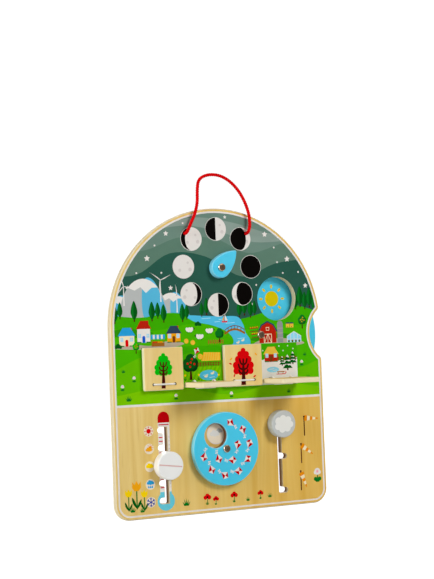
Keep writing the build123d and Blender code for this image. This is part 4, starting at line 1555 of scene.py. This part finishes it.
def elastic_line(season):
    """From knot to knot: through the panel and the tile, across the tile's face and back."""
    x, z = tile_x(season), TILE_BOTTOM_Z + ELASTIC_UP
    face_y = TILE_FRONT_Y - ELASTIC_D / 2 - ELASTIC_LIFT
    legs = np.concatenate([
        np.linspace(ELASTIC_START_Y, FRONT_Y, 6),
        np.linspace(FRONT_Y, TILE_BACK_Y, 16)[1:],
        np.linspace(TILE_BACK_Y, face_y + ELASTIC_BEND_R, 6)[1:],
    ])
    left = [(-ELASTIC_LEG_X, y) for y in legs]
    for a in np.radians(np.linspace(0, 90, 7)[1:]):
        left.append((-ELASTIC_LEG_X + ELASTIC_BEND_R * (1 - math.cos(a)),
                     face_y + ELASTIC_BEND_R * (1 - math.sin(a))))
    across = [(u, face_y) for u in np.linspace(left[-1][0], -left[-1][0], 12)[1:-1]]
    whole = left + across + [(-u, y) for u, y in left[::-1]]
    return np.array([(x + u, y, z) for u, y in whole])


def folded(places):
    """The same cord with its tile folded open: it turns about the hinge between the panel and the tile."""
    share = np.clip((FRONT_Y - places[:, 1]) / (FRONT_Y - TILE_BACK_Y), 0, 1)
    turn = math.pi / 2 * share**2 * (3 - 2 * share)
    y, z = places[:, 1] - HINGE_Y, places[:, 2] - HINGE_Z
    return np.column_stack([places[:, 0], HINGE_Y + y * np.cos(turn) - z * np.sin(turn),
                            HINGE_Z + y * np.sin(turn) + z * np.cos(turn)])


def elastics():
    for season in SEASONS:
        path = elastic_line(season)
        z = path[0][2]
        if season in OPEN_SEASONS:
            path = folded(path)
        parts = [tube(path, ELASTIC_D / 2 + ELASTIC_COVER, ELASTIC_SIDES)]
        for side in SIDES:
            x = tile_x(season) + side * ELASTIC_LEG_X
            knot = knot_line(x, z, *ELASTIC_KNOT_Y, ELASTIC_KNOT_R, ELASTIC_KNOT_L)
            parts.append(tube(knot, ELASTIC_D / 2, ELASTIC_KNOT_SIDES))
        piece = cord_piece(f"elastic_{season}", parts, "elastic")
        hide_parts(f"{season}_elastic")
        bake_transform(piece)


# Light, floor and camera
AMBIENT = 0.05
BACKDROP = 1.05
FLOOR_GLOW = 1.3
FLOOR_GLOW_SHARE = 0.78
FLOOR_HALF = 6.0
FLOOR_Z = -0.0004
FLOOR_GREY = (0.9, 0.9, 0.9, 1)
LAMPS = {
    "key": ((0.75, -1.8, 1.35), 0.95, 32.2),
    "left": ((-2.2, -0.3, 0.7), 1.2, 36),
    "back": ((0.9, 2.2, 1.2), 1.4, 34),
}
AIM = (0, 0, 0.2)
WHITE = (1, 1, 1, 1)
CAMERA_AT = (-0.8489, -1.6340, 0.2107)
CAMERA_YAW = 27.49
CAMERA_PITCH = 2.16
CAMERA_ROLL = -2.18
CAMERA_LENS = 90.33


def bare(owner):
    """A node tree without its first nodes."""
    s = Shader(owner)
    s.tree.nodes.clear()
    return s


def seen_directly(s):
    """1 where the camera, a mirror or glass looks at a surface, and 0 for light that falls on the object."""
    path = s.node("LightPath").outputs
    values = {0: s.maths("ADD", path["Is Camera Ray"], path["Is Glossy Ray"]), 1: path["Is Transmission Ray"]}
    return s.node("Math", values, operation="ADD", use_clamp=True).outputs[0]


def world():
    made = bpy.data.worlds.new("studio")
    bpy.context.scene.world = made
    s = bare(made)
    dim, bright = (
        s.node("Background", {"Color": WHITE, "Strength": strength}).outputs[0]
        for strength in (AMBIENT, BACKDROP)
    )
    mixed = s.node("MixShader", {0: seen_directly(s), 1: dim, 2: bright}).outputs[0]
    s.node("OutputWorld", {"Surface": mixed})


def floor():
    square = rect(-FLOOR_HALF, -FLOOR_HALF, FLOOR_HALF, FLOOR_HALF)
    plane = new_object("floor", [(x, y, FLOOR_Z) for x, y in square], [(0, 1, 2, 3)])
    s = bare(bpy.data.materials.new("floor"))
    matt = s.node("BsdfDiffuse", {"Color": FLOOR_GREY}).outputs[0]
    glow = s.node("Emission", {"Color": WHITE, "Strength": FLOOR_GLOW}).outputs[0]
    share = s.product(seen_directly(s), FLOOR_GLOW_SHARE)
    s.node("OutputMaterial", {"Surface": s.node("MixShader", {0: share, 1: matt, 2: glow}).outputs[0]})
    plane.data.materials.append(s.owner)


def lamp(name, at, size, power):
    light = bpy.data.lights.new(name, "AREA")
    light.shape = "DISK"
    light.size = size
    light.energy = power
    made = bpy.data.objects.new(name, light)
    made.location = at
    made.rotation_euler = (Vector(AIM) - Vector(at)).to_track_quat("-Z", "Y").to_euler()
    bpy.context.scene.collection.objects.link(made)


def camera():
    yaw, pitch, roll = (math.radians(a) for a in (CAMERA_YAW, CAMERA_PITCH, CAMERA_ROLL))
    ahead = Vector((math.sin(yaw) * math.cos(pitch), math.cos(yaw) * math.cos(pitch), math.sin(pitch)))
    level = Vector((math.cos(yaw), -math.sin(yaw), 0))
    upright = level.cross(ahead)
    right = level * math.cos(roll) + upright * math.sin(roll)
    up = upright * math.cos(roll) - level * math.sin(roll)
    lens = bpy.data.cameras.new("camera")
    lens.lens = CAMERA_LENS
    made = bpy.data.objects.new("camera", lens)
    turn = Matrix((right, up, -ahead)).transposed().to_4x4()
    made.matrix_world = Matrix.Translation(CAMERA_AT) @ turn
    bpy.context.scene.collection.objects.link(made)
    bpy.context.scene.camera = made


board_prints()
tile_prints()
rain_print()
weather_print()
knob_prints()
rope()
elastics()
world()
floor()
for lamp_name, settings in LAMPS.items():
    lamp(lamp_name, *settings)
camera()
bpy.context.scene.view_settings.view_transform = "Standard"
